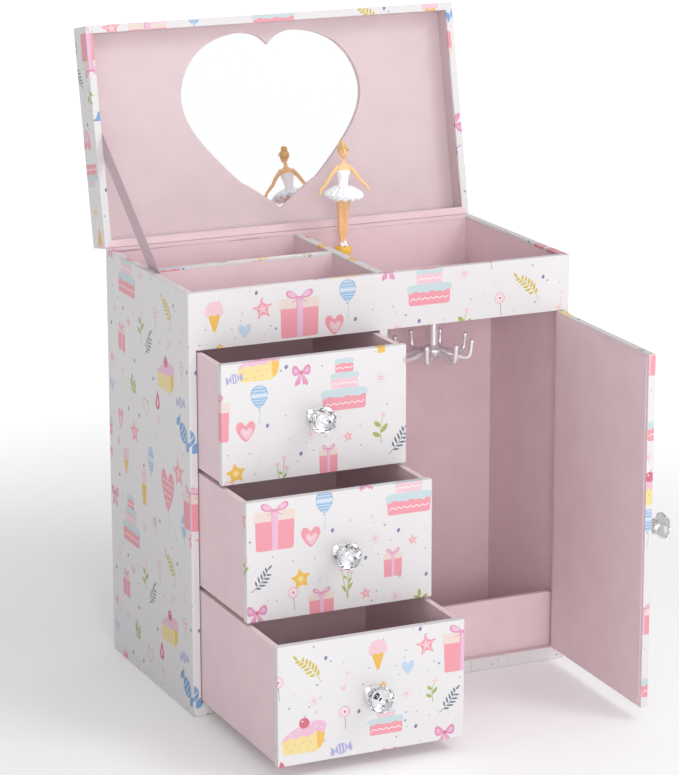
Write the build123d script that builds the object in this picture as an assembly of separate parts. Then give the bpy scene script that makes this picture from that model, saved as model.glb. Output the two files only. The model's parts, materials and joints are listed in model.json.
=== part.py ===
from build123d import *
from math import cos, pi, radians, sin
import os

os.makedirs("parts", exist_ok=True)

# A child's musical jewellery box in paper-covered board. Origin at the centre of the case's bottom
# face, +Z up, the front at -Y. Rest pose: lid open, door open, three drawers partly pulled out.

# ---------------------------------------------------------------- driving dimensions, mm
WIDTH, DEPTH, HEIGHT = 250.0, 136.0, 259.0        # the case without its lid
BOARD = 4.5                                       # covered greyboard
LID_GAP, LID_HEIGHT = 0.4, 21.6
LID_OPEN = 101.5                                  # degrees from closed to the ribbon's stop
DOOR_OPEN = 88.6                                  # degrees from closed at rest
DRAWERS_OUT = (37.0, 72.0, 115.0)                 # upper, middle, lower drawer at rest
RAIL_BOTTOM, BASE_RAIL = 225.0, 8.0               # the front opening's top and bottom edges
TRAY_FLOOR, SHELF, PARTITION = 3.0, 2.0, 3.0      # board thicknesses inside
DIVIDER_LEFT, DIVIDER_RIGHT = -2.8, 2.2           # centre divider between drawers and cupboard
FALSE_BACK_Y = 27.0                               # cupboard back, with the movement behind it
GAP = 0.4                                         # clearance round the drawer fronts and the door
PAPER = 0.4                                       # cloth and paper hinges
KNOB_R, KNOB_REACH = 7.9, 16.5
CAROUSEL_X, CAROUSEL_Y, HOOK_RADIUS, HOOKS = 56.5, -20.0, 24.0, 8
SPINDLE_X, SPINDLE_Y = 25.5, 46.0                 # the ballerina's and the music cylinder's axis
BASE_TOP = 251.0                                  # top of the ballerina's round base

# ---------------------------------------------------------------- derived places
HX, HY = WIDTH / 2, DEPTH / 2
IN_X, IN_Y = HX - BOARD, HY - BOARD
FLOOR_TOP = RAIL_BOTTOM + TRAY_FLOOR
LID_RIM = HEIGHT + LID_GAP
LID_TOP = LID_RIM + LID_HEIGHT
LID_PIVOT_Z = HEIGHT + LID_GAP / 2
SLOT = (RAIL_BOTTOM - BASE_RAIL) / 3              # height of one drawer's slot
LID_AXIS = Axis((0, HY, LID_PIVOT_Z), (1, 0, 0))
DOOR_AXIS = Axis((IN_X, -HY, 0), (0, 0, 1))
DOOR_BOTTOM, DOOR_TOP = BASE_RAIL + GAP, RAIL_BOTTOM - GAP
DOOR_FREE, DOOR_HUNG = DIVIDER_RIGHT + GAP, IN_X - GAP


# ---------------------------------------------------------------- helpers
def block(low, high):
    """A box between two corners."""
    size = [high[i] - low[i] for i in range(3)]
    middle = [(high[i] + low[i]) / 2 for i in range(3)]
    return Pos(*middle) * Box(*size)


def rod(start, end, radius):
    """A round bar between two points."""
    run = Vector(*end) - Vector(*start)
    plane = Plane(origin=start, z_dir=run.normalized())
    return extrude(plane * Circle(radius), run.length)


def turned(plane, profile):
    """A solid of revolution about the plane's normal, from (radius, height) points."""
    points = [(r, 0, z) for r, z in profile]
    face = make_face(Polyline(*points, close=True))
    return plane * revolve(face, Axis.Z)


def toothed(radius, width, teeth, depth=0.8):
    """A spur wheel along Z with square-topped teeth."""
    root = Cylinder(radius - depth, width)
    tooth_width = pi * radius / teeth * 0.9
    tooth = Pos(radius - depth / 2 - 0.1, 0, 0) * Box(depth + 0.2, tooth_width, width)
    return joined(root, *[Rot(0, 0, 360 * i / teeth) * tooth for i in range(teeth)])


def joined(*pieces):
    """One solid from touching pieces."""
    whole = pieces[0]
    for piece in pieces[1:]:
        whole = whole + piece
    return whole


def bench(*pieces):
    """Separate solids that share one node."""
    solids = [s for p in pieces for s in p.solids()]
    return Compound(children=solids)


def write(name, shape):
    shape.label = name
    export_step(shape, f"parts/{name}.step")


def open_lid(shape):
    return shape.rotate(LID_AXIS, -LID_OPEN)


def open_door(shape):
    return shape.rotate(DOOR_AXIS, DOOR_OPEN)


# ---------------------------------------------------------------- case
def rounded_sides(sign):
    """A full-depth side board, its outer vertical edges eased."""
    low, high = sorted((sign * HX, sign * IN_X))
    board = block((low, -HY, 0), (high, HY, HEIGHT))
    corners = board.edges().filter_by(Axis.Z).sort_by(Axis.X)
    outer = corners[:2] if sign < 0 else corners[-2:]
    return fillet(outer, 1.2)


def back_panel():
    """The back board, drilled for the key's shaft and the movement's screws."""
    panel = block((-IN_X, IN_Y, 0), (IN_X, HY, HEIGHT))
    panel -= rod((SPINDLE_X, IN_Y - 1, KEY_Z), (SPINDLE_X, HY + 1, KEY_Z), 3.2)
    for x, z in MOVEMENT_SCREWS:
        panel -= rod((x, IN_Y - 1, z), (x, HY + 1, z), 1.2)
    return panel


def centre_divider():
    """The board between the drawers and the cupboard, notched over the base rail."""
    board = block((DIVIDER_LEFT, -HY, BOARD), (DIVIDER_RIGHT, IN_Y, RAIL_BOTTOM))
    board -= block((DIVIDER_LEFT - 1, -HY - 1, BOARD - 1), (DIVIDER_RIGHT + 1, -IN_Y, BASE_RAIL))
    return board - magnet(DIVIDER_RIGHT, -1)


def magnet(face_x, way):
    """A small round magnet let into a board's edge, half way up the door."""
    z = (DOOR_BOTTOM + DOOR_TOP) / 2
    y = -HY + BOARD / 2
    return rod((face_x, y, z), (face_x + way * MAGNET_LENGTH, y, z), MAGNET_R)


def drawer_shelves():
    """Two thin shelves that the upper drawers run on."""
    levels = [BASE_RAIL + SLOT * i for i in (1, 2)]
    return bench(*[
        block((-IN_X, -HY + 6, z - SHELF / 2), (DIVIDER_LEFT, IN_Y, z + SHELF / 2)) for z in levels
    ])


def pocket_front():
    """The low board that makes a pocket across the foot of the cupboard."""
    board = block((DIVIDER_RIGHT, POCKET_Y, BOARD), (IN_X, POCKET_Y + PARTITION, POCKET_TOP))
    top = board.edges().filter_by(Axis.Y).sort_by(Axis.Z)[-2:]
    return fillet(top, 5)


POCKET_Y, POCKET_TOP = -IN_Y + 0.5, 43.0          # clear of the shut door
MAGNET_R, MAGNET_LENGTH = 1.6, 2.5
LONG_LEFT, LONG_RIGHT = -0.5, 5.0                 # long divider of the top tray
CROSS_FRONT, CROSS_BACK = 5.0, 10.0               # cross divider in the tray's left half
TRAY_WALL_TOP = HEIGHT - 1.5

# ---------------------------------------------------------------- music movement, behind the false back
PLATE_BACK, PLATE_FRONT = IN_Y, IN_Y - 2.0        # bedplate against the back panel
CYL_R, CYL_LOW, CYL_HIGH = 6.5, 180.0, 204.0
PINION_Z, WHEEL_R = 175.0, 16.0
KEY_Z = PINION_Z - WHEEL_R                        # axis of the spring and its key
WHEEL_FACE = SPINDLE_Y + 3.6
MOVEMENT_SCREWS = ((8.0, 146.0), (50.0, 146.0), (50.0, 208.0))
COMB_SCREWS_Z = (186.0, 198.0)
COMB_SCREW_X = 49.0
GOV_X, GOV_Y = SPINDLE_X - 12.0, SPINDLE_Y        # governor arbor
WORM_X, WORM_Z = GOV_X - 6.9, 199.0


def bedplate():
    """The movement's cast plate, with bearing lugs for the cylinder and a seat for the comb."""
    plate = block((3.5, PLATE_FRONT, 141), (57, PLATE_BACK, 216))
    lugs = [
        block((SPINDLE_X - 4, SPINDLE_Y - 4, z), (SPINDLE_X + 4, PLATE_FRONT, z + 1.5))
        for z in (177.9, 211)
    ]
    seat = block((42, SPINDLE_Y + 1, 180), (56, PLATE_FRONT, 204))
    body = joined(plate, seat, *lugs)
    body -= rod((SPINDLE_X, SPINDLE_Y, 160), (SPINDLE_X, SPINDLE_Y, 222), 1.56)
    body -= rod((SPINDLE_X, PLATE_FRONT - 1, KEY_Z), (SPINDLE_X, PLATE_BACK + 1, KEY_Z), 2.1)
    for x, z in MOVEMENT_SCREWS:
        body -= rod((x, PLATE_FRONT - 1, z), (x, PLATE_BACK + 1, z), 1.0)
    for z in COMB_SCREWS_Z:
        body -= rod((COMB_SCREW_X, SPINDLE_Y, z), (COMB_SCREW_X, SPINDLE_Y + 7, z), 1.0)
    return body


def spring_housing():
    """The fixed drum that holds the mainspring, open towards the great wheel."""
    y = (WHEEL_FACE + 3.0, PLATE_FRONT)
    drum = rod((SPINDLE_X, y[0], KEY_Z), (SPINDLE_X, y[1], KEY_Z), 15)
    drum -= rod((SPINDLE_X, y[0] - 1, KEY_Z), (SPINDLE_X, y[1] - 1, KEY_Z), 13.8)
    drum -= rod((SPINDLE_X, y[0], KEY_Z), (SPINDLE_X, y[1] + 1, KEY_Z), 2.4)
    return drum


def mainspring():
    """The coiled strip inside the housing, as its outer shape."""
    y = (WHEEL_FACE + 3.4, PLATE_FRONT - 1.3)
    coil = rod((SPINDLE_X, y[0], KEY_Z), (SPINDLE_X, y[1], KEY_Z), 13.5)
    return coil - rod((SPINDLE_X, y[0] - 1, KEY_Z), (SPINDLE_X, y[1] + 1, KEY_Z), 2.4)


def great_wheel():
    """The crown wheel on the spring's arbor, its teeth facing the cylinder's pinion."""
    plane = Plane(origin=(SPINDLE_X, WHEEL_FACE + 1.0, KEY_Z), z_dir=(0, 1, 0))
    disc = plane * (Pos(0, 0, 1.0) * Cylinder(WHEEL_R + 1.5, 1.8))
    teeth = [
        plane * (Rot(0, 0, 7.5 * i) * (Pos(WHEEL_R + 0.2, 0, -0.35) * Box(2.4, 1.0, 1.1))) for i in range(48)
    ]
    arbor = rod((SPINDLE_X, WHEEL_FACE + 1, KEY_Z), (SPINDLE_X, PLATE_BACK - 0.4, KEY_Z), 2.0)
    return joined(disc, arbor, *teeth)


def winding_key():
    """The butterfly key outside the back, with its shaft through the panel."""
    y = HY + 6.0
    wings = [
        Plane(origin=(SPINDLE_X, y + 9, KEY_Z), z_dir=(1, 0, 0))
        * extrude(Pos(0, side * 7.6) * Ellipse(6.2, 7.4), 1.1, both=True)
        for side in (-1, 1)
    ]
    wings = [w - rod(
        (SPINDLE_X - 3, y + 9, KEY_Z + side * 8.6), (SPINDLE_X + 3, y + 9, KEY_Z + side * 8.6), 2.4
    ) for w, side in zip(wings, (-1, 1))]
    barrel = rod((SPINDLE_X, HY + 0.8, KEY_Z), (SPINDLE_X, y + 12, KEY_Z), 3.4)
    shaft = rod((SPINDLE_X, PLATE_BACK - 0.2, KEY_Z), (SPINDLE_X, HY + 0.8, KEY_Z), 2.0)
    return joined(barrel, shaft, *wings)


def music_cylinder():
    """The pinned cylinder with its pinion, its top wheel and the arbor that turns the dancer."""
    arbor = rod((SPINDLE_X, SPINDLE_Y, 172), (SPINDLE_X, SPINDLE_Y, SPINDLE_TOP), 1.5)
    drum = rod((SPINDLE_X, SPINDLE_Y, CYL_LOW), (SPINDLE_X, SPINDLE_Y, CYL_HIGH), CYL_R - 0.5)
    pinion = Pos(SPINDLE_X, SPINDLE_Y, PINION_Z) * toothed(3.2, 4.6, 12)
    wheel = Pos(SPINDLE_X, SPINDLE_Y, 207) * toothed(9.4, 2, 40)
    pins = []
    for row in range(18):
        z = CYL_LOW + 1.2 + row * 1.27
        for turn in range(3):
            angle = radians((row * 137.5 + turn * 120 + (row % 4) * 11) % 360)
            foot = (SPINDLE_X + (CYL_R - 1) * cos(angle), SPINDLE_Y + (CYL_R - 1) * sin(angle), z)
            tip = (SPINDLE_X + CYL_R * cos(angle), SPINDLE_Y + CYL_R * sin(angle), z)
            pins.append(rod(foot, tip, 0.25))
    return joined(arbor, drum, pinion, wheel, *pins)


def comb():
    """The steel comb, one tooth for each row of pins."""
    tip = SPINDLE_X + CYL_R + 0.12
    plate = block((tip, SPINDLE_Y, CYL_LOW), (56, SPINDLE_Y + 1, CYL_HIGH))
    for i in range(1, 18):
        z = CYL_LOW + 0.57 + i * 1.27
        plate -= block((tip - 1, SPINDLE_Y - 1, z - 0.14), (43, SPINDLE_Y + 2, z + 0.14))
    for z in COMB_SCREWS_Z:
        plate -= rod((COMB_SCREW_X, SPINDLE_Y - 1, z), (COMB_SCREW_X, SPINDLE_Y + 2, z), 1.0)
    return plate


def movement_screws():
    """Two comb screws and three screws through the back panel into the bedplate."""
    comb_screws = [
        joined(
            rod((COMB_SCREW_X, SPINDLE_Y - 1.6, z), (COMB_SCREW_X, SPINDLE_Y, z), 2.0),
            rod((COMB_SCREW_X, SPINDLE_Y, z), (COMB_SCREW_X, SPINDLE_Y + 6.5, z), 1.0),
        )
        for z in COMB_SCREWS_Z
    ]
    plate_screws = [
        joined(
            rod((x, HY, z), (x, HY + 1.4, z), 2.4),
            rod((x, PLATE_FRONT, z), (x, HY, z), 1.0),
        )
        for x, z in MOVEMENT_SCREWS
    ]
    return bench(*comb_screws, *plate_screws)


def governor_bracket():
    """The folded plate that carries the governor's arbor and worm."""
    back = block((3.5, 58.5, 190), (18, PLATE_FRONT, 213.5))
    low = block((3.5, 41, 190), (17.5, 58.5, 191.6))
    high = block((9.5, 42, 212), (17.5, 58.5, 213.5))
    front = block((3.5, 40, 190), (9.0, 41.4, 202))
    body = joined(back, low, high, front)
    body -= rod((GOV_X, GOV_Y, 185), (GOV_X, GOV_Y, 218), 1.05)
    return body - rod((WORM_X, 36, WORM_Z), (WORM_X, PLATE_FRONT + 1, WORM_Z), 0.85)


def governor_wheel():
    """The pinion and worm wheel between the cylinder and the air brake."""
    arbor = rod((GOV_X, GOV_Y, 190), (GOV_X, GOV_Y, 213.5), 1.0)
    pinion = Pos(GOV_X, GOV_Y, 207) * toothed(2.4, 3, 10)
    wheel = Pos(GOV_X, GOV_Y, WORM_Z) * toothed(5.0, 2, 20)
    return joined(arbor, pinion, wheel)


def governor_fan():
    """The worm with the two-bladed air brake that holds the music to speed."""
    shaft = rod((WORM_X, 35, WORM_Z), (WORM_X, 61, WORM_Z), 0.8)
    worm = rod((WORM_X, 42, WORM_Z), (WORM_X, 50, WORM_Z), 1.6)
    blades = block((WORM_X - 0.4, 35.4, WORM_Z - 4.4), (WORM_X + 0.4, 39.4, WORM_Z + 4.4))
    return joined(shaft, worm, blades)


# ---------------------------------------------------------------- lid, drawn closed and then opened
LINER_FACE = LID_RIM + 13.0
LINER_BACK = LINER_FACE + 2.0
MIRROR_BACK = LINER_BACK + 1.5
TOP_BOARD = LID_TOP - BOARD
HEART_HALF, HEART_SHOULDER, HEART_TIP, HEART_CLEFT = 61.5, -57.3, 53.4, -50.0


def heart_face():
    """A rounded heart, its lobes towards the front of the lid and its tip towards the hinge."""
    right = Spline(
        (0, HEART_CLEFT), (0.45 * HEART_HALF, HEART_SHOULDER), (0.84 * HEART_HALF, HEART_SHOULDER + 13),
        (HEART_HALF, -21), (0.8 * HEART_HALF, 10), (0.43 * HEART_HALF, 35), (0, HEART_TIP),
        tangents=[(0.6, -0.8), (-0.8, 0.6)],
    )
    left = mirror(right, Plane.YZ)
    return make_face([right, left])


def lid_top():
    top = block((-HX, -HY, TOP_BOARD), (HX, HY, LID_TOP))
    return fillet(top.edges().filter_by(Axis.Z), 1.2)


def lid_walls():
    """Four boards round the lid."""
    sides = [
        block((min(x), -HY, LID_RIM), (max(x), HY, TOP_BOARD)) for x in ((-HX, -IN_X), (IN_X, HX))
    ]
    ends = [
        block((-IN_X, min(y), LID_RIM), (IN_X, max(y), TOP_BOARD)) for y in ((-HY, -IN_Y), (IN_Y, HY))
    ]
    return bench(*sides, *ends)


def lid_liner():
    """The covered card that frames the mirror with a heart-shaped window."""
    card = block((-IN_X, -IN_Y, LINER_FACE), (IN_X, IN_Y, LINER_BACK))
    return card - extrude(Plane.XY.offset(LINER_FACE - 1) * heart_face(), 5)


MIRROR_X, MIRROR_FRONT, MIRROR_REAR = 65.0, -60.5, 57.0


def lid_mirror():
    return block((-MIRROR_X, MIRROR_FRONT, LINER_BACK), (MIRROR_X, MIRROR_REAR, MIRROR_BACK))


def mirror_backing():
    """Packing card round and behind the mirror."""
    card = block((-IN_X, -IN_Y, LINER_BACK), (IN_X, IN_Y, TOP_BOARD))
    return card - block(
        (-MIRROR_X, MIRROR_FRONT, LINER_BACK - 1), (MIRROR_X, MIRROR_REAR, MIRROR_BACK)
    )


def lid_hinge_cloth():
    """The paper-covered cloth strip across the back, bent at the lid's edge."""
    leg, off = 14.0, 0.1                          # each leg starts just off the pivot
    low, high = LID_PIVOT_Z - off, LID_PIVOT_Z + off
    fixed = block((-HX + 1, HY, low - leg), (HX - 1, HY + PAPER, low))
    moving = open_lid(block((-HX + 1, HY, high), (HX - 1, HY + PAPER, high + leg)))
    return joined(fixed, moving)


RIBBON_WIDTH, RIBBON_THICK = 11.0, 0.5
RIBBON_CASE = (-15.0, 250.0)                      # y and z of its lower glued end, on the case
RIBBON_LID_Y = -1.0                               # where it is glued in the closed lid


def ribbon_ends():
    """The ribbon's two ends in the plane of the case's left wall, as (y, z)."""
    mark = open_lid(Pos(-IN_X, RIBBON_LID_Y, LID_RIM + 6) * Box(0.1, 0.1, 0.1))
    top = mark.center()
    return Vector(-IN_X, *RIBBON_CASE), Vector(-IN_X, top.Y, top.Z)


def ribbon_stay():
    """The flat ribbon that stops the lid, taut along the inside of the left wall."""
    low, high = ribbon_ends()
    run = high - low
    plane = Plane(origin=low, x_dir=run.normalized(), z_dir=(1, 0, 0))
    strip = Pos(run.length / 2, 0) * Rectangle(run.length, RIBBON_WIDTH)
    return extrude(plane * strip, RIBBON_THICK)


# ---------------------------------------------------------------- door, drawn shut and then opened
KNOB_Z = (DOOR_BOTTOM + DOOR_TOP) / 2
DOOR_KNOB_X = DOOR_FREE + 10.5
SCREW_SUNK = 2.0                                  # the door's screw sits under its lining paper


def door_panel():
    panel = block((DOOR_FREE, -HY, DOOR_BOTTOM), (DOOR_HUNG, -IN_Y, DOOR_TOP))
    panel = fillet(panel.edges().filter_by(Axis.X).sort_by(Axis.Y)[:2], 0.8)
    panel -= magnet(DOOR_FREE, 1)
    sink = rod((DOOR_KNOB_X, -IN_Y + 1, KNOB_Z), (DOOR_KNOB_X, -IN_Y - SCREW_SUNK, KNOB_Z), 3.8)
    return panel - sink - knob_hole(DOOR_KNOB_X, KNOB_Z)


def door_hinge_cloth():
    """The paper hinge down the door's right edge, bent at the case's front."""
    fixed = block((IN_X, -HY - PAPER, DOOR_BOTTOM), (HX - 1, -HY, DOOR_TOP))
    moving = open_door(block((IN_X - 10, -HY - PAPER, DOOR_BOTTOM), (IN_X, -HY, DOOR_TOP)))
    return joined(fixed, moving)


# ---------------------------------------------------------------- knobs on a vertical front
def knob_hole(x, z):
    return rod((x, -HY - 1, z), (x, -IN_Y + 1, z), 1.6)


def knob_plane(x, z):
    return Plane(origin=(x, -HY, z), x_dir=(1, 0, 0), z_dir=(0, -1, 0))


def knob_ferrule(x, z):
    """The silver cup that holds the crystal off the front."""
    profile = [(0, 0.05), (5.2, 0.05), (5.2, 0.9), (3.4, 1.8), (2.9, 4.2), (4.2, 6.2), (4.8, 7.4), (0, 7.4)]
    cup = turned(knob_plane(x, z), profile)
    return cup - rod((x, -HY + 1, z), (x, -HY - 4.2, z), 1.5)


def knob_crystal(x, z):
    """The cut-glass head, as a turned solid of the same size."""
    profile = [(0, 7.4), (3.6, 7.4), (KNOB_R, 11.6), (KNOB_R, 12.8), (4.7, KNOB_REACH), (0, KNOB_REACH)]
    return turned(knob_plane(x, z), profile)


def knob_screw(x, z, sunk=0.0):
    """The pan-head screw from inside, through the board and into the ferrule."""
    seat = -IN_Y - sunk
    shank = rod((x, seat, z), (x, -HY - 4.0, z), 1.5)
    head = rod((x, seat + 1.8, z), (x, seat, z), 3.4)
    return joined(shank, head)


# ---------------------------------------------------------------- drawers, drawn shut and then pulled
DRAWER_LEFT, DRAWER_RIGHT = -IN_X + GAP, DIVIDER_LEFT - GAP
BOX_LEFT, BOX_RIGHT = DRAWER_LEFT + 0.3, DRAWER_RIGHT - 0.3
DRAWER_BACK = IN_Y - 2.0
DRAWER_SIDE, DRAWER_BOTTOM = 3.5, 2.5
DRAWER_KNOB_X = (DRAWER_LEFT + DRAWER_RIGHT) / 2


def drawer_front(foot):
    front = block(
        (DRAWER_LEFT, -HY, foot + GAP), (DRAWER_RIGHT, -IN_Y, foot + SLOT - GAP)
    )
    front = fillet(front.edges().filter_by(Axis.X).sort_by(Axis.Y)[:2], 0.8)
    return front - knob_hole(DRAWER_KNOB_X, foot + SLOT / 2)


def drawer_box(foot):
    """Two sides, a back and a bottom, glued to the front."""
    low, high = foot + 1.4, foot + SLOT - 1.6
    sides = [
        block((x, -IN_Y, low), (x + DRAWER_SIDE, DRAWER_BACK, high))
        for x in (BOX_LEFT, BOX_RIGHT - DRAWER_SIDE)
    ]
    inner = (BOX_LEFT + DRAWER_SIDE, BOX_RIGHT - DRAWER_SIDE)
    back = block((inner[0], DRAWER_BACK - DRAWER_SIDE, low), (inner[1], DRAWER_BACK, high))
    bottom = block((inner[0], -IN_Y, low), (inner[1], DRAWER_BACK - DRAWER_SIDE, low + DRAWER_BOTTOM))
    return bench(*sides, back, bottom)


# ---------------------------------------------------------------- necklace carousel
HUB_Z = 196.0


def carousel_flange():
    """The round foot screwed to the ceiling, with the post's socket."""
    foot = rod((CAROUSEL_X, CAROUSEL_Y, RAIL_BOTTOM - 2.5), (CAROUSEL_X, CAROUSEL_Y, RAIL_BOTTOM), 9)
    collar = rod((CAROUSEL_X, CAROUSEL_Y, RAIL_BOTTOM - 7), (CAROUSEL_X, CAROUSEL_Y, RAIL_BOTTOM - 2), 4.6)
    return joined(foot, collar) - rod(
        (CAROUSEL_X, CAROUSEL_Y, RAIL_BOTTOM - 8), (CAROUSEL_X, CAROUSEL_Y, RAIL_BOTTOM + 1), 2.95
    )


def carousel_post():
    """The turning post and the dished hub at its foot."""
    plane = Plane(origin=(CAROUSEL_X, CAROUSEL_Y, HUB_Z), z_dir=(0, 0, 1))
    profile = [(0, -4.2), (3.0, -4.2), (6.0, -2.6), (7.2, -0.4), (7.2, 1.0), (2.9, 3.2)]
    return turned(plane, profile + [(2.9, RAIL_BOTTOM - 0.3 - HUB_Z), (0, RAIL_BOTTOM - 0.3 - HUB_Z)])


def carousel_hooks():
    """Upturned hooks, evenly spaced, each one bent bar from the hub to its tip."""
    reach = HOOK_RADIUS
    path = FilletPolyline((6.6, 0, -1.2), (reach - 3, 0, -4.6), (reach, 0, 6.5), radius=3.6)
    bar = sweep(Plane(origin=path @ 0, z_dir=path % 0) * Circle(1.35), path=path)
    bar += Pos(*(path @ 1)) * Sphere(1.75)
    hub_cut = Cylinder(7.25, 12)
    bar -= hub_cut
    ring = []
    for i in range(HOOKS):
        hook = Pos(CAROUSEL_X, CAROUSEL_Y, HUB_Z) * (Rot(0, 0, 9 + 360 / HOOKS * i) * bar)
        ring.append(hook)
    return bench(*ring)


# ---------------------------------------------------------------- ballerina
BASE_THICK, BASE_R = 5.0, 5.3
SPINDLE_TOP = 236.0
SPRING_R = 3.0
HIP_Z, SHOULDER_Z, HEAD_Z = BASE_TOP + 33.0, BASE_TOP + 51.5, BASE_TOP + 60.6
TUTU_Z, TUTU_R = BASE_TOP + 34.0, 12.8
HAND_REACH, HAND_Z = 17.2, BASE_TOP + 35.5


def ballerina_spring():
    """The close coil under the base, which bends when the lid pushes the dancer down."""
    low = (SPINDLE_X, SPINDLE_Y, SPINDLE_TOP)
    high = (SPINDLE_X, SPINDLE_Y, BASE_TOP - BASE_THICK)
    return rod(low, high, SPRING_R)


def ballerina_base():
    base = rod((0, 0, BASE_TOP - BASE_THICK), (0, 0, BASE_TOP), BASE_R)
    base = fillet(base.edges().filter_by(GeomType.CIRCLE), 0.6)
    return Pos(SPINDLE_X, SPINDLE_Y, 0) * base


def ballerina_figure():
    """The dancer: legs, body, arms held low to the sides, neck and head with its bun."""
    leg_height = HIP_Z - BASE_TOP
    leg = Pos(0, 0, BASE_TOP + leg_height / 2) * Cone(1.3, 2.7, leg_height)
    legs = [Pos(side * 1.9, 0, 0) * leg for side in (-1, 1)]
    feet = Pos(0, -0.6, BASE_TOP + 1.0) * Box(4.4, 4.2, 2.0)
    body = turned(Plane.XY, [
        (0, HIP_Z - 1), (4.6, HIP_Z - 1), (3.4, HIP_Z + 8), (4.3, HIP_Z + 14),
        (4.0, SHOULDER_Z), (1.4, SHOULDER_Z + 1.5), (1.3, HEAD_Z - 2.5), (0, HEAD_Z - 2.5),
    ])
    arms = [
        rod((side * 3.4, 0, SHOULDER_Z - 1), (side * HAND_REACH, -1.5, HAND_Z), 1.25) for side in (-1, 1)
    ]
    hands = [Pos(side * HAND_REACH, -1.5, HAND_Z - 0.5) * Sphere(1.5) for side in (-1, 1)]
    head = Pos(0, 0, HEAD_Z) * Sphere(4.1)
    bun = Pos(0, 2.4, HEAD_Z + 2.2) * Sphere(2.4)
    return Pos(SPINDLE_X, SPINDLE_Y, 0) * joined(body, *legs, feet, *arms, *hands, head, bun)


def ballerina_tutu():
    """The stiff round skirt, open at its middle round the dancer's hips."""
    skirt = turned(Plane.XY, [
        (4.7, TUTU_Z + 3.0), (TUTU_R, TUTU_Z - 0.2), (TUTU_R, TUTU_Z - 2.4), (4.7, TUTU_Z - 1.2),
    ])
    return Pos(SPINDLE_X, SPINDLE_Y, 0) * skirt


# ---------------------------------------------------------------- writing the nodes
def tray_floor():
    floor = block((-IN_X, -IN_Y, RAIL_BOTTOM), (IN_X, IN_Y, FLOOR_TOP))
    return floor - rod((SPINDLE_X, SPINDLE_Y, 220), (SPINDLE_X, SPINDLE_Y, 232), 2.2)


def write_case():
    write("left_side", rounded_sides(-1))
    write("right_side", rounded_sides(1))
    write("back_panel", back_panel())
    write("bottom_panel", block((-IN_X, -IN_Y, 0), (IN_X, IN_Y, BOARD)))
    write("top_rail", block((-IN_X, -HY, RAIL_BOTTOM), (IN_X, -IN_Y, HEIGHT)))
    write("bottom_rail", block((-IN_X, -HY, 0), (IN_X, -IN_Y, BASE_RAIL)))
    write("centre_divider", centre_divider())
    write("tray_floor", tray_floor())
    write("drawer_shelves", drawer_shelves())
    write("false_back", block(
        (DIVIDER_RIGHT, FALSE_BACK_Y, BOARD), (IN_X, FALSE_BACK_Y + PARTITION, RAIL_BOTTOM)
    ))
    write("pocket_front", pocket_front())
    write("tray_long_divider", block((LONG_LEFT, -IN_Y, FLOOR_TOP), (LONG_RIGHT, IN_Y, TRAY_WALL_TOP)))
    write("tray_cross_divider", block(
        (-IN_X, CROSS_FRONT, FLOOR_TOP), (LONG_LEFT, CROSS_BACK, TRAY_WALL_TOP)
    ))
    write("divider_magnet", magnet(DIVIDER_RIGHT, -1))
    write("carousel_flange", carousel_flange())


def write_movement():
    write("bedplate", bedplate())
    write("spring_housing", spring_housing())
    write("mainspring", mainspring())
    write("comb", comb())
    write("movement_screws", movement_screws())
    write("governor_bracket", governor_bracket())
    write("great_wheel", great_wheel())
    write("winding_key", winding_key())
    write("music_cylinder", music_cylinder())
    write("governor_wheel", governor_wheel())
    write("governor_fan", governor_fan())


def write_lid():
    for name, make in (
        ("lid_top", lid_top), ("lid_walls", lid_walls), ("lid_liner", lid_liner),
        ("mirror", lid_mirror), ("mirror_backing", mirror_backing),
    ):
        write(name, open_lid(make()))
    write("lid_hinge_cloth", lid_hinge_cloth())
    write("ribbon_stay", ribbon_stay())


def write_door():
    write("door_panel", open_door(door_panel()))
    write("door_magnet", open_door(magnet(DOOR_FREE, 1)))
    write("door_knob_ferrule", open_door(knob_ferrule(DOOR_KNOB_X, KNOB_Z)))
    write("door_knob_crystal", open_door(knob_crystal(DOOR_KNOB_X, KNOB_Z)))
    write("door_knob_screw", open_door(knob_screw(DOOR_KNOB_X, KNOB_Z, SCREW_SUNK)))
    write("door_hinge_cloth", door_hinge_cloth())


def write_drawers():
    for i, out in enumerate(DRAWERS_OUT):
        foot = BASE_RAIL + SLOT * (2 - i)
        middle = foot + SLOT / 2
        pulled = Pos(0, -out, 0)
        write(f"drawer_{i + 1}_front", pulled * drawer_front(foot))
        write(f"drawer_{i + 1}_box", pulled * drawer_box(foot))
        write(f"drawer_{i + 1}_knob_ferrule", pulled * knob_ferrule(DRAWER_KNOB_X, middle))
        write(f"drawer_{i + 1}_knob_crystal", pulled * knob_crystal(DRAWER_KNOB_X, middle))
        write(f"drawer_{i + 1}_knob_screw", pulled * knob_screw(DRAWER_KNOB_X, middle))


def write_carousel_and_dancer():
    write("carousel_post", carousel_post())
    write("carousel_hooks", carousel_hooks())
    write("ballerina_spring", ballerina_spring())
    write("ballerina_base", ballerina_base())
    write("ballerina_figure", ballerina_figure())
    write("ballerina_tutu", ballerina_tutu())


write_case()
write_movement()
write_lid()
write_door()
write_drawers()
write_carousel_and_dancer()
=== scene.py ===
import json
import random
from math import cos, hypot, pi, radians, sin

import bmesh
import bpy
from mathutils import Matrix, Vector
from mathutils.geometry import delaunay_2d_cdt


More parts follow.
